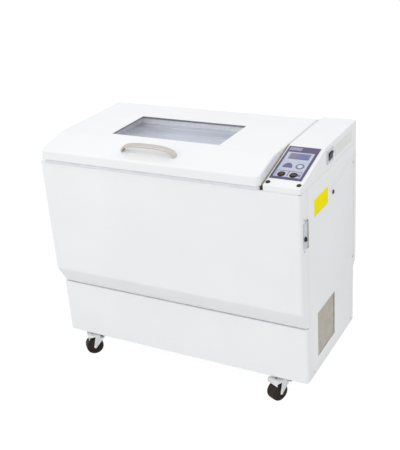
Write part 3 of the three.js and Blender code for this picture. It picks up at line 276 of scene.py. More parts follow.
looks = {
    "white_paint": paintedSheet("white powder paint", fromScreen(243, 245, 247)),
    "stainless": brushedMetal("brushed stainless", fromScreen(200, 203, 210), 0.33),
    "satin_nickel": brushedMetal("satin nickel", fromScreen(205, 198, 192), 0.3, grain=500),
    "zinc": platedSteel("bright zinc plate", fromScreen(240, 241, 243), 0.34),
    "cast_iron": castMetal("grey cast iron", fromScreen(88, 92, 96)),
    "foam": foamBlock("cream foam", fromScreen(222, 210, 180)),
    "vent_grey": mouldedPlastic("warm grey mesh paint", fromScreen(203, 198, 188), 0.6),
    "pale_grey": mouldedPlastic("pale grey film", fromScreen(232, 234, 232), 0.5, grain=900, spread=0.03),
    "yellow": mouldedPlastic("yellow film", fromScreen(255, 240, 0), 0.7, spread=0.03, gloss=0.05),
    "dark_brown": mouldedPlastic("dark brown plastic", fromScreen(60, 45, 38), 0.4, spread=0.12, gloss=0.3),
    "blue_grey": mouldedPlastic("blue grey plastic", fromScreen(208, 214, 228), 0.4, gloss=0.3),
    "warm_grey": brushedMetal("warm grey steel", fromScreen(200, 195, 184), 0.42, along=(0, 0, 1)),
    "panel_purple": mouldedPlastic("purple membrane", fromScreen(88, 82, 118), 0.42, grain=2200, spread=0.05),
    "display_blue": mouldedPlastic("tinted display", fromScreen(128, 126, 168), 0.12, grain=60, spread=0.05),
    "key_purple": mouldedPlastic("purple key film", fromScreen(108, 100, 144), 0.38, grain=2000),
    "gasket_rubber": sealRubber("pale seal rubber", fromScreen(240, 238, 246)),
    "belt_rubber": sealRubber("black belt rubber", fromScreen(34, 34, 36)),
    "window_glass": paneGlass("clear pane", fromScreen(224, 230, 240), 0.1, 0.04),
    "wheel_black": sealRubber("dark wheel rubber", fromScreen(40, 28, 22), 0.55),
}
# the inner pane's colours are a painted reflection: darker at the left, brighter to the right
looks["innerPane"] = streakedPane("inner pane with painted reflection", fromScreen(146, 144, 162), fromScreen(196, 202, 216))
looks["displayToneGraded"] = fadedDisplay("tinted display glass", fromScreen(134, 128, 150), fromScreen(108, 112, 162))
looks["paleField"] = mouldedPlastic("pale lavender membrane", fromScreen(192, 198, 214), 0.42, grain=2200, spread=0.03)
looks["barePatch"] = mouldedPlastic("grey bare membrane", fromScreen(152, 152, 176), 0.42, grain=2200, spread=0.03)
looks["ringPrint"] = mouldedPlastic("grey blue print", fromScreen(112, 114, 146), 0.42, grain=2200, spread=0.03)
looks["tanBearing"] = castMetal("tan bearing", fromScreen(150, 138, 118), 0.5)
looks["goldenLens"] = mouldedPlastic("amber lens", fromScreen(176, 128, 70), 0.25)
# a brighter copy of the liner steel for the throat: painted highlight
looks["paleSteel"] = platedSteel("throat steel painted bright", fromScreen(244, 245, 248), 0.3)
# tan and pale copies of one strip, the painted shade of the gap beside the control housing
looks["gapShadeSlope"] = sealRubber("gap shade painted tan", fromScreen(158, 150, 126), 0.6)
looks["gapShadeFlat"] = sealRubber("gap shade painted pale grey", fromScreen(214, 216, 214), 0.6)
looks["stripGrey"] = sealRubber("grey pane strip", fromScreen(138, 132, 134), 0.6)
looks["grooveGrey"] = sealRubber("grey seam", fromScreen(150, 148, 138), 0.7)
for node, piece in frame["nodes"].items():
    piece.data.materials.clear()
    piece.data.materials.append(looks[slotOfNode[node]])
frame["nodes"]["window_inner_pane"].data.materials[0] = looks["innerPane"]
print("finishes made:", len(looks))


# camera, floor and lights
view = {
    "eye": (1.558534, -2.754141, 2.029305),
    "right": (0.88057422, 0.46890596, -0.06867495),
    "up": (-0.13915872, 0.39436661, 0.90835556),
    "back": (0.45301644, -0.79031777, 0.41252142),
    "lens": 66.6694,
}


def makeCamera():
    lens = bpy.data.cameras.new("photo camera")
    lens.lens = view["lens"]
    lens.sensor_width = 36
    lens.clip_end = 100
    camera = bpy.data.objects.new("photoCamera", lens)
    bpy.context.scene.collection.objects.link(camera)
    turn = Matrix((view["right"], view["up"], view["back"])).transposed().to_4x4()
    camera.matrix_world = Matrix.Translation(view["eye"]) @ turn
    bpy.context.scene.camera = camera


studio = {
    "floorSize": 60, "floorTone": 0.8, "floorShine": 0.84, "glow": 1.12, "sky": 0.89,
    "key": 50, "keySize": 4.0, "keyPlace": (-1.6, -3.2, 4.4), "keyAim": (0, 0, 0.7),
}


def cameraRays(nodes, links):
    path = nodes.new("ShaderNodeLightPath")
    first = nodes.new("ShaderNodeMath")
    first.operation = "MAXIMUM"
    links.new(path.outputs["Is Camera Ray"], first.inputs[0])
    links.new(path.outputs["Is Transmission Ray"], first.inputs[1])
    return first.outputs[0], path


def makeStudio():
    bpy.ops.mesh.primitive_plane_add(size=studio["floorSize"])
    floor = bpy.context.object
    floor.name = "floor"
    finish = bpy.data.materials.new("white floor")
    finish.use_nodes = True
    nodes, links = finish.node_tree.nodes, finish.node_tree.links
    shader = nodes["Principled BSDF"]
    shader.inputs["Base Color"].default_value = (*[studio["floorTone"]] * 3, 1)
    shader.inputs["Roughness"].default_value = 0.9
    shader.inputs["Specular IOR Level"].default_value = 0.0
    glow = nodes.new("ShaderNodeEmission")
    glow.inputs["Color"].default_value = (1, 1, 1, 1)
    glow.inputs["Strength"].default_value = studio["glow"]
    mix = nodes.new("ShaderNodeMixShader")
    seen, _ = cameraRays(nodes, links)
    share = nodes.new("ShaderNodeMath")
    share.operation = "MULTIPLY"
    share.inputs[1].default_value = studio["floorShine"]
    links.new(seen, share.inputs[0])
    links.new(share.outputs[0], mix.inputs["Fac"])
    links.new(shader.outputs["BSDF"], mix.inputs[1])
    links.new(glow.outputs["Emission"], mix.inputs[2])
    links.new(mix.outputs["Shader"], nodes["Material Output"].inputs["Surface"])
    floor.data.materials.append(finish)

    world = bpy.data.worlds.new("white room")
    world.use_nodes = True
    bpy.context.scene.world = world
    nodes, links = world.node_tree.nodes, world.node_tree.links
    sky = nodes["Background"]
    sky.inputs["Color"].default_value = (1, 1, 1, 1)
    seen, path = cameraRays(nodes, links)
    alsoGloss = nodes.new("ShaderNodeMath")
    alsoGloss.operation = "MAXIMUM"
    links.new(seen, alsoGloss.inputs[0])
    links.new(path.outputs["Is Glossy Ray"], alsoGloss.inputs[1])
    level = nodes.new("ShaderNodeMapRange")
    level.inputs["To Min"].default_value = studio["sky"]
    level.inputs["To Max"].default_value = 1.0
    links.new(alsoGloss.outputs[0], level.inputs["Value"])
    links.new(level.outputs["Result"], sky.inputs["Strength"])

    lamp = bpy.data.lights.new("soft key", "AREA")
    lamp.energy = studio["key"]
    lamp.size = studio["keySize"]
    key = bpy.data.objects.new("softKey", lamp)
    bpy.context.scene.collection.objects.link(key)
    key.location = studio["keyPlace"]
    key.rotation_mode = "QUATERNION"
    key.rotation_quaternion = (Vector(studio["keyAim"]) - key.location).to_track_quat("-Z", "Y")
    bpy.context.scene.view_settings.view_transform = "Standard"


makeCamera()
makeStudio()
print("camera and studio ready")


# shared making steps
def newPiece(name, mesh):
    piece = bpy.data.objects.new(name, mesh)
    bpy.context.scene.collection.objects.link(piece)
    return piece


def pieceFrom(name, points, faces, matrix=cabinetMatrix):
    mesh = bpy.data.meshes.new(name)
    mesh.from_pydata([tuple(p) for p in points], [], faces)
    mesh.transform(matrix)
    return newPiece(name, mesh)


def closed(piece):  # corners merged, faces turned outward
    build = bmesh.new()
    build.from_mesh(piece.data)
    bmesh.ops.remove_doubles(build, verts=build.verts, dist=1e-6)
    bmesh.ops.recalc_face_normals(build, faces=build.faces)
    build.to_mesh(piece.data)
    build.free()
    return piece


def plainMesh(piece):
    graph = bpy.context.evaluated_depsgraph_get()
    mesh = bpy.data.meshes.new_from_object(piece.evaluated_get(graph), depsgraph=graph)
    piece.modifiers.clear()
    piece.data = mesh
    return piece


def markSharp(piece, angle):
    build = bmesh.new()
    build.from_mesh(piece.data)
    for face in build.faces:
        face.smooth = True
    for edge in build.edges:
        edge.smooth = len(edge.link_faces) == 2 and edge.calc_face_angle(0) < math.radians(angle)
    build.to_mesh(piece.data)
    build.free()


def evenShading(piece, angle=40):
    markSharp(piece, angle)
    weighted = piece.modifiers.new("shading", "WEIGHTED_NORMAL")
    weighted.keep_sharp = True
    weighted.weight = 80
    return plainMesh(piece)


def addBevel(piece, radius, segments=3, angle=35):
    for polygon in piece.data.polygons:
        polygon.use_smooth = True
    bevel = piece.modifiers.new("edges", "BEVEL")
    bevel.width = radius / 1000
    bevel.segments = segments
    bevel.limit_method = "ANGLE"
    bevel.angle_limit = math.radians(angle)
    bevel.harden_normals = True
    return piece


def combine(piece, other, how="DIFFERENCE"):
    change = piece.modifiers.new("combined", "BOOLEAN")
    change.object = other
    change.operation = how
    change.solver = "EXACT"
    plainMesh(piece)
    bpy.data.objects.remove(other)
    return piece


def settle(piece, look, body, standsFor=()):
    if look:
        piece.data.materials.clear()
        piece.data.materials.append(looks[look])
    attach(piece, body)
    if standsFor:
        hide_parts(*standsFor)
    return piece


def rectangle(x0, x1, y0, y1):
    return [(x0, y0), (x1, y0), (x1, y1), (x0, y1)]


def lofted(name, rings, matrix=cabinetMatrix):  # capped at both ends
    count, size = len(rings), len(rings[0])
    faces = []
    for i in range(count - 1):
        for j in range(size):
            a, b = i * size + j, i * size + (j + 1) % size
            faces.append((a, b, b + size, a + size))
    faces.append(tuple(reversed(range(size))))
    faces.append(tuple(range((count - 1) * size, count * size)))
    return closed(pieceFrom(name, [p for ring in rings for p in ring], faces, matrix))


def extruded(name, outline, low, high, matrix=cabinetMatrix):
    return lofted(name, [[(u, v, w) for u, v in outline] for w in (low, high)], matrix)


def block(name, low, high, matrix=cabinetMatrix):
    return extruded(name, rectangle(low[0], high[0], low[1], high[1]), low[2], high[2], matrix)


def circleTurns(steps):
    return [2 * math.pi * i / steps for i in range(steps)]


def spun(name, profile, matrix, steps):  # profile as (radius, height), from the axis back to the axis
    rings = []
    for radius, height in profile:
        r = max(radius, 0.001)
        rings.append([(r * math.cos(t), r * math.sin(t), height) for t in circleTurns(steps)])
    return lofted(name, rings, matrix)


def spunRing(name, profile, matrix, steps):  # a closed profile that stays off the axis
    rings = [[(r * math.cos(t), r * math.sin(t), h) for r, h in profile] for t in circleTurns(steps)]
    size = len(profile)
    faces = []
    for i in range(steps):
        k = (i + 1) % steps
        for j in range(size):
            m = (j + 1) % size
            faces.append((i * size + j, k * size + j, k * size + m, i * size + m))
    return closed(pieceFrom(name, [p for ring in rings for p in ring], faces, matrix))


def rounded(points, radius, steps=5):  # every corner of a 2-D outline rounded
    result = []
    count = len(points)
    radii = radius if isinstance(radius, (list, tuple)) else [radius] * count
    for i, (x, y) in enumerate(points):
        if radii[i] <= 0:
            result.append((x, y))
            continue
        before = Vector(points[i - 1]) - Vector((x, y))
        after = Vector(points[(i + 1) % count]) - Vector((x, y))
        half = before.angle(after) / 2
        reach = min(radii[i] / math.tan(half), before.length / 2, after.length / 2)
        r = reach * math.tan(half)
        middle = Vector((x, y)) + (before.normalized() + after.normalized()).normalized() * (r / math.sin(half))
        start = Vector((x, y)) + before.normalized() * reach - middle
        end = Vector((x, y)) + after.normalized() * reach - middle
        sweep = start.angle_signed(end)
        for k in range(steps + 1):
            spot = middle + Matrix.Rotation(-sweep * k / steps, 2) @ start
            result.append((spot.x, spot.y))
    return result


def along(local, x=0, y=0, z=0):
    return local @ Matrix.Translation((x, y, z))


def softenedNode(node, name, radius, segments=3, angle=35, look=None):
    build = bmesh.new()
    build.from_mesh(frame["nodes"][node].data)
    bmesh.ops.remove_doubles(build, verts=build.verts, dist=2e-6)
    bmesh.ops.dissolve_limit(build, angle_limit=math.radians(0.5), verts=build.verts, edges=build.edges)
    mesh = bpy.data.meshes.new(name)
    build.to_mesh(mesh)
    build.free()
    piece = addBevel(newPiece(name, mesh), radius, segments, angle)
    plainMesh(piece)
    return settle(piece, look or slotOfNode[node], bodyOfNode[node], [node])


# screws and other repeated things, placed by one node tree each
head = {
    "steps": 16, "dome": ((1, 0), (1, 0.25), (0.92, 0.6), (0.7, 0.88), (0.4, 1.0)),  # shares of radius and height
    "recess": (0.5, 0.3), "turn": 6.28,  # the most that chance turns a head, in radians
}


def makeScrewHead(name, radius, height):  # metres, with a round recess
    build = bmesh.new()
    rings = []
    for share, lift in head["dome"]:
        r = radius * share
        spots = [(r * math.cos(t), r * math.sin(t), height * lift) for t in circleTurns(head["steps"])]
        rings.append([build.verts.new(spot) for spot in spots])
    narrow, depth = head["recess"]
    rings.append([build.verts.new((v.co.x * narrow, v.co.y * narrow, height * depth)) for v in rings[-1]])
    for low, high in zip(rings, rings[1:]):
        for i in range(head["steps"]):
            k = (i + 1) % head["steps"]
            build.faces.new((low[i], low[k], high[k], high[i]))
    build.faces.new(rings[-1])
    build.faces.new(list(reversed(rings[0])))
    for face in build.faces:
        face.smooth = True
    mesh = bpy.data.meshes.new(name)
    build.to_mesh(mesh)
    build.free()
    return newPiece(name, mesh)


def newTree(name, sizes):
    tree = bpy.data.node_groups.new(name, "GeometryNodeTree")
    tree.interface.new_socket("Geometry", in_out="INPUT", socket_type="NodeSocketGeometry")
    tree.interface.new_socket("Geometry", in_out="OUTPUT", socket_type="NodeSocketGeometry")
    for label, kind in sizes.items():
        tree.interface.new_socket(label, in_out="INPUT", socket_type=kind)
    return tree, tree.nodes.new("NodeGroupInput"), tree.nodes.new("NodeGroupOutput")


def runTree(piece, tree, values):
    change = piece.modifiers.new(tree.name, "NODES")
    change.node_group = tree
    for socket in tree.interface.items_tree:
        if socket.in_out == "INPUT" and socket.name in values:
            change[socket.identifier] = values[socket.name]
    return plainMesh(piece)


def scatterTree():  # the template on every corner of the mesh, each at its own turn
    tree, start, end = newTree("scattered", {
        "Template": "NodeSocketObject", "Finish": "NodeSocketMaterial", "Turn": "NodeSocketFloat",
        "Facing": "NodeSocketRotation", "Seed": "NodeSocketInt",
    })
    nodes, links = tree.nodes, tree.links
    template = nodes.new("GeometryNodeObjectInfo")
    turn = nodes.new("FunctionNodeRandomValue")
    turn.data_type = "FLOAT"
    spread = nodes.new("ShaderNodeCombineXYZ")
    local = nodes.new("FunctionNodeEulerToRotation")
    both = nodes.new("FunctionNodeRotateRotation")
    both.rotation_space = "LOCAL"
    put = nodes.new("GeometryNodeInstanceOnPoints")
    real = nodes.new("GeometryNodeRealizeInstances")
    finish = nodes.new("GeometryNodeSetMaterial")
    links.new(start.outputs["Template"], template.inputs["Object"])
    links.new(start.outputs["Turn"], turn.inputs["Max"])
    links.new(start.outputs["Seed"], turn.inputs["Seed"])
    links.new(turn.outputs["Value"], spread.inputs["Z"])
    links.new(spread.outputs["Vector"], local.inputs["Euler"])
    links.new(start.outputs["Facing"], both.inputs["Rotation"])
    links.new(local.outputs["Rotation"], both.inputs["Rotate By"])
    links.new(start.outputs["Geometry"], put.inputs["Points"])
    links.new(template.outputs["Geometry"], put.inputs["Instance"])
    links.new(both.outputs["Rotation"], put.inputs["Rotation"])
    links.new(put.outputs["Instances"], real.inputs["Geometry"])
    links.new(real.outputs["Geometry"], finish.inputs["Geometry"])
    links.new(start.outputs["Finish"], finish.inputs["Material"])
    links.new(finish.outputs["Geometry"], end.inputs["Geometry"])
    return tree


scattered = scatterTree()


def fastened(name, spots, template, look, body, facing, seed=3, matrix=cabinetMatrix):
    mesh = bpy.data.meshes.new(name)
    mesh.from_pydata([tuple(matrix @ Vector(s)) for s in spots], [], [])
    piece = newPiece(name, mesh)
    values = {"Template": template, "Finish": looks[look], "Turn": head["turn"], "Facing": facing, "Seed": seed}
    return settle(runTree(piece, scattered, values), None, body)


# sheet casing
casing = {
    "wrap": 60, "sheet": 1.5, "corner": 12, "steps": 8, "past": 5,
    "low": 354, "fold": 435, "foldRadius": 27, "chamfer": 46, "top": 915.7, "edge": 0.6,
    "skirt": 38, "skirtLow": 110, "skirtTop": 350, "skirtEnds": [(2, 0), (0.7, 0.6), (0, 2)], "skirtEdge": 0.5,
    "skirtOpen": {"aside": 20, "behind": 9, "back": 100, "up": 3},
}


def frontRing(front, inset, z, back):
    r = casing["corner"] - inset
    left, right, near = inset, cabinetWidth - inset, front + inset
    ring = [(left, back, z)]
    for middle, first in ((left + r, 180), (right - r, 270)):
        for i in range(casing["steps"] + 1):
            turn = math.radians(first + 90 * i / casing["steps"])
            ring.append((middle + r * math.cos(turn), near + r + r * math.sin(turn), z))
    ring.append((right, back, z))
    return ring


def makeCasing():
    sheet, back, past = casing["sheet"], casing["wrap"], casing["past"]
    chamfer, low, bend, radii = casing["chamfer"], casing["low"], (0, casing["fold"]), [0, casing["foldRadius"], 0]
    slope = chamfer / (casing["fold"] - low)
    fold = rounded([(chamfer, low), bend, (0, casing["top"])], radii, casing["steps"])
    outer = lofted("frontCover", [frontRing(f, 0, z, back) for f, z in fold])
    innerFold = [(chamfer - sheet * slope, low + sheet), bend, (0, casing["top"] + past)]
    inside = rounded(innerFold, radii, casing["steps"])
    combine(outer, lofted("coverHollow", [frontRing(f, sheet, z, back + past) for f, z in inside]))
    addBevel(outer, casing["edge"], 2, 40)
    evenShading(plainMesh(outer))
    settle(outer, "white_paint", "cabinet", ["front_cover"])

    front, low, high = casing["skirt"], casing["skirtLow"], casing["skirtTop"]
    rings = [frontRing(front, i, low + h, back) for i, h in casing["skirtEnds"]]
    rings += [frontRing(front, i, high - h, back) for i, h in reversed(casing["skirtEnds"])]
    skirt = lofted("frontSkirt", rings)
    hollow = [frontRing(front, sheet, z, back + past) for z in (low + sheet, high - sheet)]
    combine(skirt, lofted("skirtHollow", hollow))
    under = casing["skirtOpen"]
    nearCorner = (under["aside"], front + under["behind"], low - past)
    combine(skirt, block("skirtOpen", nearCorner, (cabinetWidth - under["aside"], under["back"], low + under["up"])))
    addBevel(skirt, casing["skirtEdge"], 2, 40)
    evenShading(plainMesh(skirt))
    settle(skirt, "white_paint", "cabinet", ["front_skirt"])


makeCasing()
print("casing ready")

# lid and control housing: folded hoods, open below
hoods = {  # outlines as (back, up)
    "lid": {
        "x": (21, 979.5), "low": 935, "corners": (18, 7), "edge": 9,
        "outline": [(-13, 935), (568, 935), (568, 1006), (123, 1006), (-13, 973)],
    },
    "housing": {
        "x": (985.5, 1128), "low": 878.3, "corners": (3, 7), "edge": 3.2,
        "outline": [(0, 918.3), (568.3, 918.3), (568.3, 878.3), (598.1, 878.3), (598.1, 1006), (257, 1006), (0, 940)],
    },
}
hoodCut = {"top": 1040, "past": 10, "flatBend": 5}  # the bend in degrees under which a top edge stays sharp


def makeHood(name, values):
    left, right = values["x"]
    front, rear = values["corners"]
    outline = values["outline"]
    nearY, farY = outline[0][0], max(y for y, _ in outline)
    plan = rounded(rectangle(left, right, nearY, farY), [front, front, rear, rear], 8)
    hood = extruded(name, plan, values["low"], hoodCut["top"])
    past = hoodCut["past"]
    combine(hood, extruded("wedge", outline, left - past, right + past, profileMatrix), "INTERSECT")
    build = bmesh.new()
    build.from_mesh(hood.data)
    bmesh.ops.remove_doubles(build, verts=build.verts, dist=1e-6)
    bmesh.ops.dissolve_limit(build, angle_limit=math.radians(0.2), verts=build.verts, edges=build.edges)
    weights = build.edges.layers.float.new("bevel_weight_edge")
    for edge in build.edges:
        if len(edge.link_faces) != 2 or any(f.normal.z < -0.9 for f in edge.link_faces):
            continue
        tops = [f.normal.z > 0.5 for f in edge.link_faces]
        if tops[0] != tops[1]:
            edge[weights] = 1.0
        elif all(tops) and edge.calc_face_angle(0) > math.radians(hoodCut["flatBend"]):
            edge[weights] = 1.0
    build.to_mesh(hood.data)
    build.free()
    bevel = hood.modifiers.new("edges", "BEVEL")
    bevel.width = values["edge"] / 1000
    bevel.segments = 5
    bevel.limit_method = "WEIGHT"
    plainMesh(hood)
    build = bmesh.new()
    build.from_mesh(hood.data)
    under = [f for f in build.faces if f.normal.z < -0.9]
    bmesh.ops.delete(build, geom=under, context="FACES_ONLY")
    build.to_mesh(hood.data)
    build.free()
    shell = hood.modifiers.new("sheet", "SOLIDIFY")
    shell.thickness = casing["sheet"] / 1000
    shell.offset = -1
    shell.use_even_offset = True
    return plainMesh(hood)


window = {"x": (254, 738), "y": (164, 404), "rim": 3, "cut": (990, 1020)}
panel = {"u": (6.5, 128.5), "v": (45, 248), "border": 8, "face": 2.3, "cut": 5, "ink": 0.12}
mains = {"y": (258, 324), "z": (936, 987), "border": 5, "cut": (1118, 1138)}


def makeHoods():
    lidHood = makeHood("lidHood", hoods["lid"])
    hole = rounded(rectangle(*window["x"], *window["y"]), window["rim"], 4)
    combine(lidHood, extruded("windowCut", hole, *window["cut"]))
    evenShading(lidHood)
    settle(lidHood, "white_paint", "lid", ["lid_shell"])

    top = makeHood("controlHood", hoods["housing"])
    (u0, u1), (v0, v1), border, cut = panel["u"], panel["v"], panel["border"], panel["cut"]
    combine(top, block("panelCut", (u0 + border, v0 + border, -cut), (u1 - border, v1 - border, cut), housingSlope))
    (y0, y1), (z0, z1), rim, (x0, x1) = mains["y"], mains["z"], mains["border"], mains["cut"]
    combine(top, block("mainsCut", (y0 + rim, z0 + rim, x0), (y1 - rim, z1 - rim, x1), profileMatrix))
    evenShading(top)
    settle(top, "white_paint", "cabinet", ["control_housing"])


makeHoods()
print("lid and housing hoods ready")

# liner of the lid: its throat above the inner pane is painted brighter than the liner steel, a painted highlight
throat = {"x": (300, 749), "y": (153, 415), "low": 968, "high": 999.6}
paneStrip = {"x": (244, 748), "y": (154, 414), "z": (994.5, 998.9), "wide": 2, "past": 5}


def makeLiner():
    liner = softenedNode("lid_liner", "lidLiner", 0.4, 2)
    liner.data.materials.append(looks["paleSteel"])
    (x0, x1), (y0, y1) = throat["x"], throat["y"]
    low, high = place(x0, y0, throat["low"]), place(x1, y1, throat["high"])
    for polygon in liner.data.polygons:
        spot = polygon.center
        if low.x < spot.x < high.x and low.y < spot.y < high.y and low.z < spot.z < high.z:
            polygon.material_index = 1
    (x0, x1), (y0, y1), (z0, z1) = paneStrip["x"], paneStrip["y"], paneStrip["z"]
    wide, past = paneStrip["wide"], paneStrip["past"]
    strip = extruded("paneStrip", rectangle(x0, x1, y0, y1), z0, z1)
    opening = rectangle(x0 + wide, x1 - wide, y0 + wide, y1 - wide)
    combine(strip, extruded("paneStripOpen", opening, z0 - past, z1 + past))
    settle(strip, "stripGrey", "lid")


makeLiner()

# lid seal: a soft ring that bulges to the lid's edge
seal = {
    "x": (25, 975.5), "y": (-4, 566), "wide": 30, "low": 918.35, "high": 935.6,
    "corner": 16, "leastCorner": 3, "steps": 8, "bulge": 3,
    "outside": ((0, 0), (0.2, 0.7), (0.5, 1), (0.8, 0.7), (1, 0)),  # shares of height and swell
    "inside": ((1, 0), (0.5, 0), (0, 0)),
}


def makeSeal():
    (x0, x1), (y0, y1) = seal["x"], seal["y"]
    rings = []
    for side, profile in enumerate((seal["outside"], seal["inside"])):
        for lift, swell in profile:
            inset = (1 - swell) * seal["bulge"] + side * seal["wide"]
            z = seal["low"] + (seal["high"] - seal["low"]) * lift
            edge = rectangle(x0 + inset, x1 - inset, y0 + inset, y1 - inset)
            corner = max(seal["leastCorner"], seal["corner"] - inset)
            rings.append([(x, y, z) for x, y in rounded(edge, corner, seal["steps"])])
    points, size, count = [p for ring in rings for p in ring], len(rings[0]), len(rings)
    faces = []
    for i in range(count):
        for j in range(size):
            k, m = (i + 1) % count, (j + 1) % size
            faces.append((i * size + j, i * size + m, k * size + m, k * size + j))
    ring = closed(pieceFrom("lidSeal", points, faces))
    evenShading(ring, 50)
    settle(ring, "gasket_rubber", "lid", ["lid_gasket"])


makeSeal()

# handle: a satin strap bent to an arch, with dark dots by its feet as painted shade
handle = {
    "middle": 496, "along": 60.18, "half": 115, "height": 33, "width": 25, "thick": 9, "power": 2.7,
    "steps": 56, "roundSteps": 20, "squareness": 0.5, "clear": 0.3, "foot": 12, "plug": (0.0045, 0.0016),
}


def rootOf(value, power):  # keeps its sign
    return math.copysign(abs(value) ** power, value)


def makeHandle():
    middle, steps, around, clear = [], handle["steps"], handle["roundSteps"], handle["clear"]
    for i in range(steps + 1):
        turn = math.pi * i / steps
        p = 2 / handle["power"]
        middle.append(Vector((handle["half"] * rootOf(math.cos(turn), p), handle["height"] * abs(math.sin(turn)) ** p)))
    rings = []
    for i, spot in enumerate(middle):
        ahead = (middle[min(i + 1, steps)] - middle[max(i - 1, 0)]).normalized()
        if i in (0, steps):
            ahead = Vector((0, 1 if i == 0 else -1))
        side = Vector((ahead.y, -ahead.x))
        ring = []
        for t in circleTurns(around):
            a = handle["thick"] / 2 * rootOf(math.cos(t), handle["squareness"])
            b = handle["width"] / 2 * rootOf(math.sin(t), handle["squareness"])
            up = max(clear, spot.y + side.y * a + clear)
            ring.append((handle["middle"] + spot.x + side.x * a, handle["along"] + b, up))
        rings.append(ring)
    strap = lofted("handleStrap", rings, lidSlope)
    evenShading(strap, 60)
    settle(strap, "satin_nickel", "lid", ["lid_handle"])
    # dark brown dots on the feet's inner sides are painted shade of the strap's inner corners
    plug = makeScrewHead("handlePlug", *handle["plug"])
    power, share = handle["power"], handle["foot"] / handle["height"]
    reach = handle["half"] * (1 - share ** power) ** (1 / power) - handle["thick"] / 2
    for name, side in (("leftPlug", -1), ("rightPlug", 1)):
        spot = (handle["middle"] + side * reach, handle["along"], handle["foot"])
        facing = (0, math.radians(-90 * side), 0)
        fastened(name, [spot], plug, "dark_brown", "lid", facing, matrix=lidSlope)
    bpy.data.objects.remove(plug)


makeHandle()

# castor wheels
wheelShape = {"radius": 38, "half": 24, "hub": 14, "bore": 4.4, "steps": 72, "crownTop": 96.3, "forkEdge": 0.9}
castorTurns = {"front_left": -45, "front_right": -25, "rear_left": -35, "rear_right": -25}


def makeWheels():
    rim, half, hub, bore = wheelShape["radius"], wheelShape["half"], wheelShape["hub"], wheelShape["bore"]
    disc = [(bore, half), (hub - 1, half), (hub, half), (hub + 1.2, half - 1.6), (hub + 3, half - 2.2)]
    tread = [(9, 2.2), (7.5, 1.2), (5, 1.4), (2.2, 3.2), (0.7, 6), (0, 10)]  # in from the rim and from the side
    tyre = disc + [(rim - inward, half - down) for inward, down in tread]
    profile = tyre + [(r, -h) for r, h in reversed(tyre)]
    for corner in ("front_left", "front_right", "rear_left", "rear_right"):
        low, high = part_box("castor_wheel_" + corner)
        middle = (Vector(low) + Vector(high)) / 2
        swivel = Matrix.Rotation(math.radians(castorTurns[corner]), 4, "Z")
        turned = Matrix.Translation(middle) @ swivel @ Matrix.Rotation(math.radians(90), 4, "Y") @ millimetres
        cornerName = corner.title().replace("_", "")
        wheel = spunRing("wheel" + cornerName, profile, turned, wheelShape["steps"])
        evenShading(wheel, 50)
        settle(wheel, "wheel_black", "wheel_" + corner, ["castor_wheel_" + corner])
        fork = softenedNode("castor_fork_" + corner, "fork" + cornerName, wheelShape["forkEdge"], 2, 40)
        fork.data.materials.append(looks["tanBearing"])
        for polygon in fork.data.polygons:
            if polygon.center.z > wheelShape["crownTop"] / 1000:
                polygon.material_index = 1


makeWheels()
print("handle and castors ready")

# vent: a frame, tilted slats and a filter behind them
vent = {
    "y": (142, 348), "z": (164, 375), "x": 1126.15, "margin": 8, "frame": 2, "past": 10, "edge": 0.5,
    "pitch": 5.6, "slat": 5.0, "slatSheet": 0.8, "tilt": 0.7, "slatsBehind": 3.4,
    "pad": (9, 5.6), "padInset": 1, "padEdge": 1.0,
}


def slatTree():  # one slat after another up a line
    sizes = {"Count": "NodeSocketInt"}
    sizes.update({label: "NodeSocketFloat" for label in ("Pitch", "Length", "Slat", "Sheet", "Tilt")})
    tree, start, end = newTree("louvre", {**sizes, "Finish": "NodeSocketMaterial"})
    nodes, links = tree.nodes, tree.links
    size = nodes.new("ShaderNodeCombineXYZ")
    slat = nodes.new("GeometryNodeMeshCube")
    step = nodes.new("ShaderNodeCombineXYZ")
    line = nodes.new("GeometryNodeMeshLine")
    lean = nodes.new("ShaderNodeCombineXYZ")
    leanTurn = nodes.new("FunctionNodeEulerToRotation")
    put = nodes.new("GeometryNodeInstanceOnPoints")
    real = nodes.new("GeometryNodeRealizeInstances")
    finish = nodes.new("GeometryNodeSetMaterial")
    links.new(start.outputs["Slat"], size.inputs["X"])
    links.new(start.outputs["Length"], size.inputs["Y"])
    links.new(start.outputs["Sheet"], size.inputs["Z"])
    links.new(size.outputs["Vector"], slat.inputs["Size"])
    links.new(start.outputs["Pitch"], step.inputs["Z"])
    links.new(step.outputs["Vector"], line.inputs["Offset"])
    links.new(start.outputs["Count"], line.inputs["Count"])
    links.new(start.outputs["Tilt"], lean.inputs["Y"])
    links.new(lean.outputs["Vector"], leanTurn.inputs["Euler"])
    links.new(line.outputs["Mesh"], put.inputs["Points"])
    links.new(slat.outputs["Mesh"], put.inputs["Instance"])
    links.new(leanTurn.outputs["Rotation"], put.inputs["Rotation"])
    links.new(put.outputs["Instances"], real.inputs["Geometry"])
    links.new(real.outputs["Geometry"], finish.inputs["Geometry"])
    links.new(start.outputs["Finish"], finish.inputs["Material"])
    links.new(finish.outputs["Geometry"], end.inputs["Geometry"])
    return tree


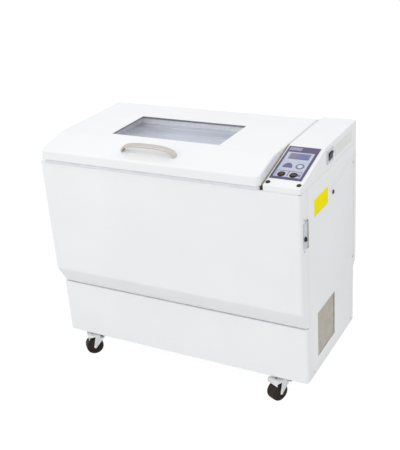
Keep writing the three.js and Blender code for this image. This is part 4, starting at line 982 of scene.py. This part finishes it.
def makeVent():
    (y0, y1), (z0, z1), m, face = vent["y"], vent["z"], vent["margin"], vent["x"]
    past = vent["past"]
    frameRing = extruded("ventFrame", rectangle(y0, y1, z0, z1), face - vent["frame"], face, profileMatrix)
    combine(frameRing, block("ventHole", (y0 + m, z0 + m, face - past), (y1 - m, z1 - m, face + past), profileMatrix))
    plainMesh(addBevel(frameRing, vent["edge"], 2))
    settle(frameRing, "vent_grey", "cabinet", ["vent_grille"])
    count = int((z1 - z0 - 2 * m) / vent["pitch"])
    slats = newPiece("ventSlats", bpy.data.meshes.new("ventSlats"))
    runTree(slats, slatTree(), {
        "Count": count, "Pitch": vent["pitch"] / 1000, "Length": (y1 - y0 - 2 * m) / 1000,
        "Slat": vent["slat"] / 1000, "Sheet": vent["slatSheet"] / 1000, "Tilt": vent["tilt"],
        "Finish": looks["vent_grey"],
    })
    lowest = place(face - vent["slatsBehind"], (y0 + y1) / 2, z0 + m + vent["pitch"] / 2)
    slats.data.transform(Matrix.Translation(lowest))
    settle(slats, None, "cabinet")
    (deep, near), inset = vent["pad"], vent["padInset"]
    farCorner = (y1 - inset, z1 - inset, face - near)
    pad = block("ventPad", (y0 + inset, z0 + inset, face - deep), farCorner, profileMatrix)
    settle(plainMesh(addBevel(pad, vent["padEdge"], 2)), "vent_grey", "cabinet")


makeVent()
print("vent ready")

softEdges = {  # node: (new name, edge radius in mm)
    "side_panel_left": ("leftPanel", 0.6),
    "side_panel_right": ("rightPanel", 0.6),
    "back_panel": ("rearPanel", 0.6),
    "back_cover": ("rearCover", 1.2),
    "deck": ("topDeck", 0.7),
    "side_plate": ("yellowPlate", 0.35),
    "side_port_plug": ("portPlug", 0.8),
    "side_latch_plate": ("latchPlate", 0.8),
    "mains_switch_frame": ("mainsFrame", 1.0),
    "mains_switch_rocker": ("mainsRocker", 0.8),
    "housing_side_plate": ("housingPlate", 0.35),
    "key_left": ("leftKey", 0.5),
    "key_right": ("rightKey", 0.5),
    "key_start": ("startKey", 0.6),
    "rocker_left": ("leftRocker", 0.5),
    "rocker_right": ("rightRocker", 0.5),
    "hinge_fixed_leaf": ("fixedLeaf", 0.4),
    "hinge_lid_leaf": ("lidLeaf", 0.4),
    "castor_brake_front_left": ("leftPedal", 0.6),
    "castor_brake_front_right": ("rightPedal", 0.6),
}
for node, (name, radius) in softEdges.items():
    softenedNode(node, name, radius)
softenedNode("display_window", "displayPane", 0.4, look="displayToneGraded")
print("edges softened on", len(softEdges), "nodes")


# control panel: one membrane sheet, its printed areas cut into its face
printAreas = {"paleField": [(16, 119, 57, 211)], "barePatch": [(14, 62, 222, 241)]}
printLines = [(20, 115, 92, 95), (65, 68, 60, 92), (20, 22, 60, 92), (113, 115, 60, 92), (100, 112, 66, 79)]
startRing = {"at": (93, 126), "inner": 10.5, "outer": 16.5}
rockerRings = {
    "places": ((43, 72), (89, 72)), "inner": 12.5, "outer": 15, "proud": 1.2, "slant": 1.5, "rim": 0.4, "steps": 48,
    "lens": (9, 3, 1.2), "lensDown": 5, "lift": 3.6, "lensEdge": 0.2,
}


def printed(name, spots, look):  # thin coloured shapes on the membrane's face
    lift = panel["face"]
    for i, (u0, u1, v0, v1) in enumerate(spots):
        line = block(name + str(i), (u0, v0, lift), (u1, v1, lift + panel["ink"]), housingSlope)
        settle(line, look, "cabinet")


def makePanel():
    plate = softenedNode("control_panel", "panelPlate", 0.4)
    inverse = housingSlope.inverted()
    build = bmesh.new()
    build.from_mesh(plate.data)
    areas = [(area, look) for look, spots in printAreas.items() for area in spots]
    acrossWay, alongWay = Vector((1, 0, 0)), Vector((0, 1, 0))
    for (low, high, near, far), _ in areas:
        for distance, way in ((low, acrossWay), (high, acrossWay), (near, alongWay), (far, alongWay)):
            where = housingSlope @ (way * distance)
            normal = (housingSlope.to_3x3() @ way).normalized()
            everything = build.verts[:] + build.edges[:] + build.faces[:]
            bmesh.ops.bisect_plane(build, geom=everything, plane_co=where, plane_no=normal, dist=1e-7)
    order = list(printAreas)
    for look in order:
        plate.data.materials.append(looks[look])
    for face in build.faces:
        spot = inverse @ face.calc_center_median()
        if spot.z > panel["face"] - 0.1:
            for (low, high, near, far), look in areas:
                if low < spot.x < high and near < spot.y < far:
                    face.material_index = 1 + order.index(look)
    build.to_mesh(plate.data)
    build.free()
    printed("panelLine", printLines, "ringPrint")
    onFace, steps = panel["face"], rockerRings["steps"]
    profile = rectangle(startRing["inner"], startRing["outer"], 0, panel["ink"])
    ring = spunRing("startRing", profile, along(housingSlope, *startRing["at"], onFace), steps)
    settle(ring, "ringPrint", "cabinet")
    inner, outer, proud = rockerRings["inner"], rockerRings["outer"], rockerRings["proud"]
    rim, slant, lift = proud * rockerRings["rim"], rockerRings["slant"], rockerRings["lift"]
    long, wide, thick = rockerRings["lens"]
    profile = [(inner, 0), (outer, 0), (outer, rim), (outer - slant, proud), (inner, proud)]
    for side, (u, v) in zip(("left", "right"), rockerRings["places"]):
        bezel = spunRing(side + "Bezel", profile, along(housingSlope, u, v, onFace), steps)
        evenShading(bezel, 30)
        settle(bezel, "dark_brown", "cabinet")
        down = v - rockerRings["lensDown"]
        farCorner = (u + long / 2, down + wide / 2, lift + thick)
        lens = block(side + "Lens", (u - long / 2, down - wide / 2, lift), farCorner, housingSlope)
        plainMesh(addBevel(lens, rockerRings["lensEdge"], 2))
        settle(lens, "goldenLens", "rocker_" + side)


makePanel()

# painted gap shade and seams: strips and a dark block painted as shade of the gap along the housing's left side, seams
# under its edge and beside the rear cover
seams = {
    "x": (980.6, 985.2), "y": (3, 257, 257.2, 566), "low": 919, "drop": 1.2, "top": 1006, "frontTop": 941, "edge": 0.8,
    "foot": ((974, 1, 918.6), (985, 9, 937)), "footEdge": 2.0,
    "lip": (986, 1127.6, 0.4, 567), "lipZ": (916, 918.2), "lipOpen": (992, 1122, 6, 561), "lipCut": (900, 930),
    "cover": ((1126.2, 568.1, 262), (1127.4, 570, 878)),
}


def makeSeams():
    near, bend, behind, far = seams["y"]
    low, top, frontTop = seams["low"], seams["top"] - seams["drop"], seams["frontTop"] - seams["drop"]
    front = [(near, low), (bend, low), (bend, top), (near, frontTop)]
    rear = rectangle(behind, far, low, top)
    # strips in the lid-housing gap painted as its shade: tan along the slope, pale grey along the flat
    for name, shape, look in (("frontSeal", front, "gapShadeSlope"), ("rearSeal", rear, "gapShadeFlat")):
        strip = extruded(name, shape, *seams["x"], profileMatrix)
        plainMesh(addBevel(strip, seams["edge"], 2))
        settle(strip, look, "cabinet")
    # a dark brown block at the front end of the gap, painted shade where the gap is deepest
    foot = block("sealFoot", *seams["foot"])
    plainMesh(addBevel(foot, seams["footEdge"], 3))
    settle(foot, "dark_brown", "cabinet")
    lip = extruded("lipSeal", rectangle(*seams["lip"]), *seams["lipZ"])
    combine(lip, extruded("lipOpen", rectangle(*seams["lipOpen"]), *seams["lipCut"]))
    settle(lip, "grooveGrey", "cabinet")
    settle(block("coverSeam", *seams["cover"]), "grooveGrey", "cabinet")


makeSeams()
print("panel and seams ready")

# latch: a flat key knob on the plate and a wide keeper strip
lock = {
    "knob": (28, 739), "radius": 9, "base": 1.9, "height": 6, "rim": (1, 1.2), "steps": 40,
    "grip": (3, 14, 3), "gripEdge": 0.7,
    "keeper": (40.5, 55, 694, 806), "keeperDepth": 6, "sheet": 2, "gap": 0.2, "keeperEdge": 0.4,
}


def makeLatch():
    y, z = lock["knob"]
    r, base, height = lock["radius"], lock["base"], lock["height"]
    here = along(sideMatrix, y, z, base)
    rimIn, rimDown = lock["rim"]
    profile = [(0, 0), (r, 0), (r, height - rimDown), (r - rimIn, height), (0, height)]
    knob = spun("lockKnob", profile, here, lock["steps"])
    evenShading(knob, 40)
    settle(knob, "dark_brown", "latch_knob", ["side_latch_knob"])
    wide, long, tall = lock["grip"]
    grip = block("lockGrip", (-wide / 2, -long / 2, height), (wide / 2, long / 2, height + tall), here)
    plainMesh(addBevel(grip, lock["gripEdge"], 3))
    settle(grip, "dark_brown", "latch_knob")
    y0, y1, z0, z1 = lock["keeper"]
    deep, sheet, gap = lock["keeperDepth"], lock["sheet"], lock["gap"]
    outline = [(y0, gap), (y1, gap), (y1, deep), (y1 - sheet, deep), (y1 - sheet, gap + sheet), (y0, gap + sheet)]
    strip = extruded("keeperStrip", outline, z0, z1, keeperMatrix)
    plainMesh(addBevel(strip, lock["keeperEdge"], 2))
    settle(strip, "warm_grey", "cabinet", ["side_latch_keeper"])


makeLatch()

# screws on the right side (back, up) and on the rear
sideScrews = {
    "head": (0.0038, 0.0016), "x": 1128.2,
    "spots": [(558.8, 842), (104, 128), (540, 128), (28, 812), (28, 688), (558.8, 420)],
}
rearScrews = {
    "head": (0.0045, 0.0022), "y": 569.8,
    "columns": (30, 297, 564, 831, 1098), "rows": (132, 345), "sideRow": 250,
}


def makeScrews():
    template = makeScrewHead("sideScrew", *sideScrews["head"])
    spots = [(sideScrews["x"], y, z) for y, z in sideScrews["spots"]]
    fastened("sideScrews", spots, template, "warm_grey", "cabinet", (0, math.radians(90), 0), seed=5)
    bpy.data.objects.remove(template)
    template = makeScrewHead("screwHead", *rearScrews["head"])
    columns = rearScrews["columns"]
    spots = [(x, rearScrews["y"], z) for x in columns for z in rearScrews["rows"]]
    spots += [(x, rearScrews["y"], rearScrews["sideRow"]) for x in (columns[0], columns[-1])]
    fastened("rearScrews", spots, template, "zinc", "cabinet", (math.radians(-90), 0, 0))
    bpy.data.objects.remove(template)


makeScrews()
print("screws ready")
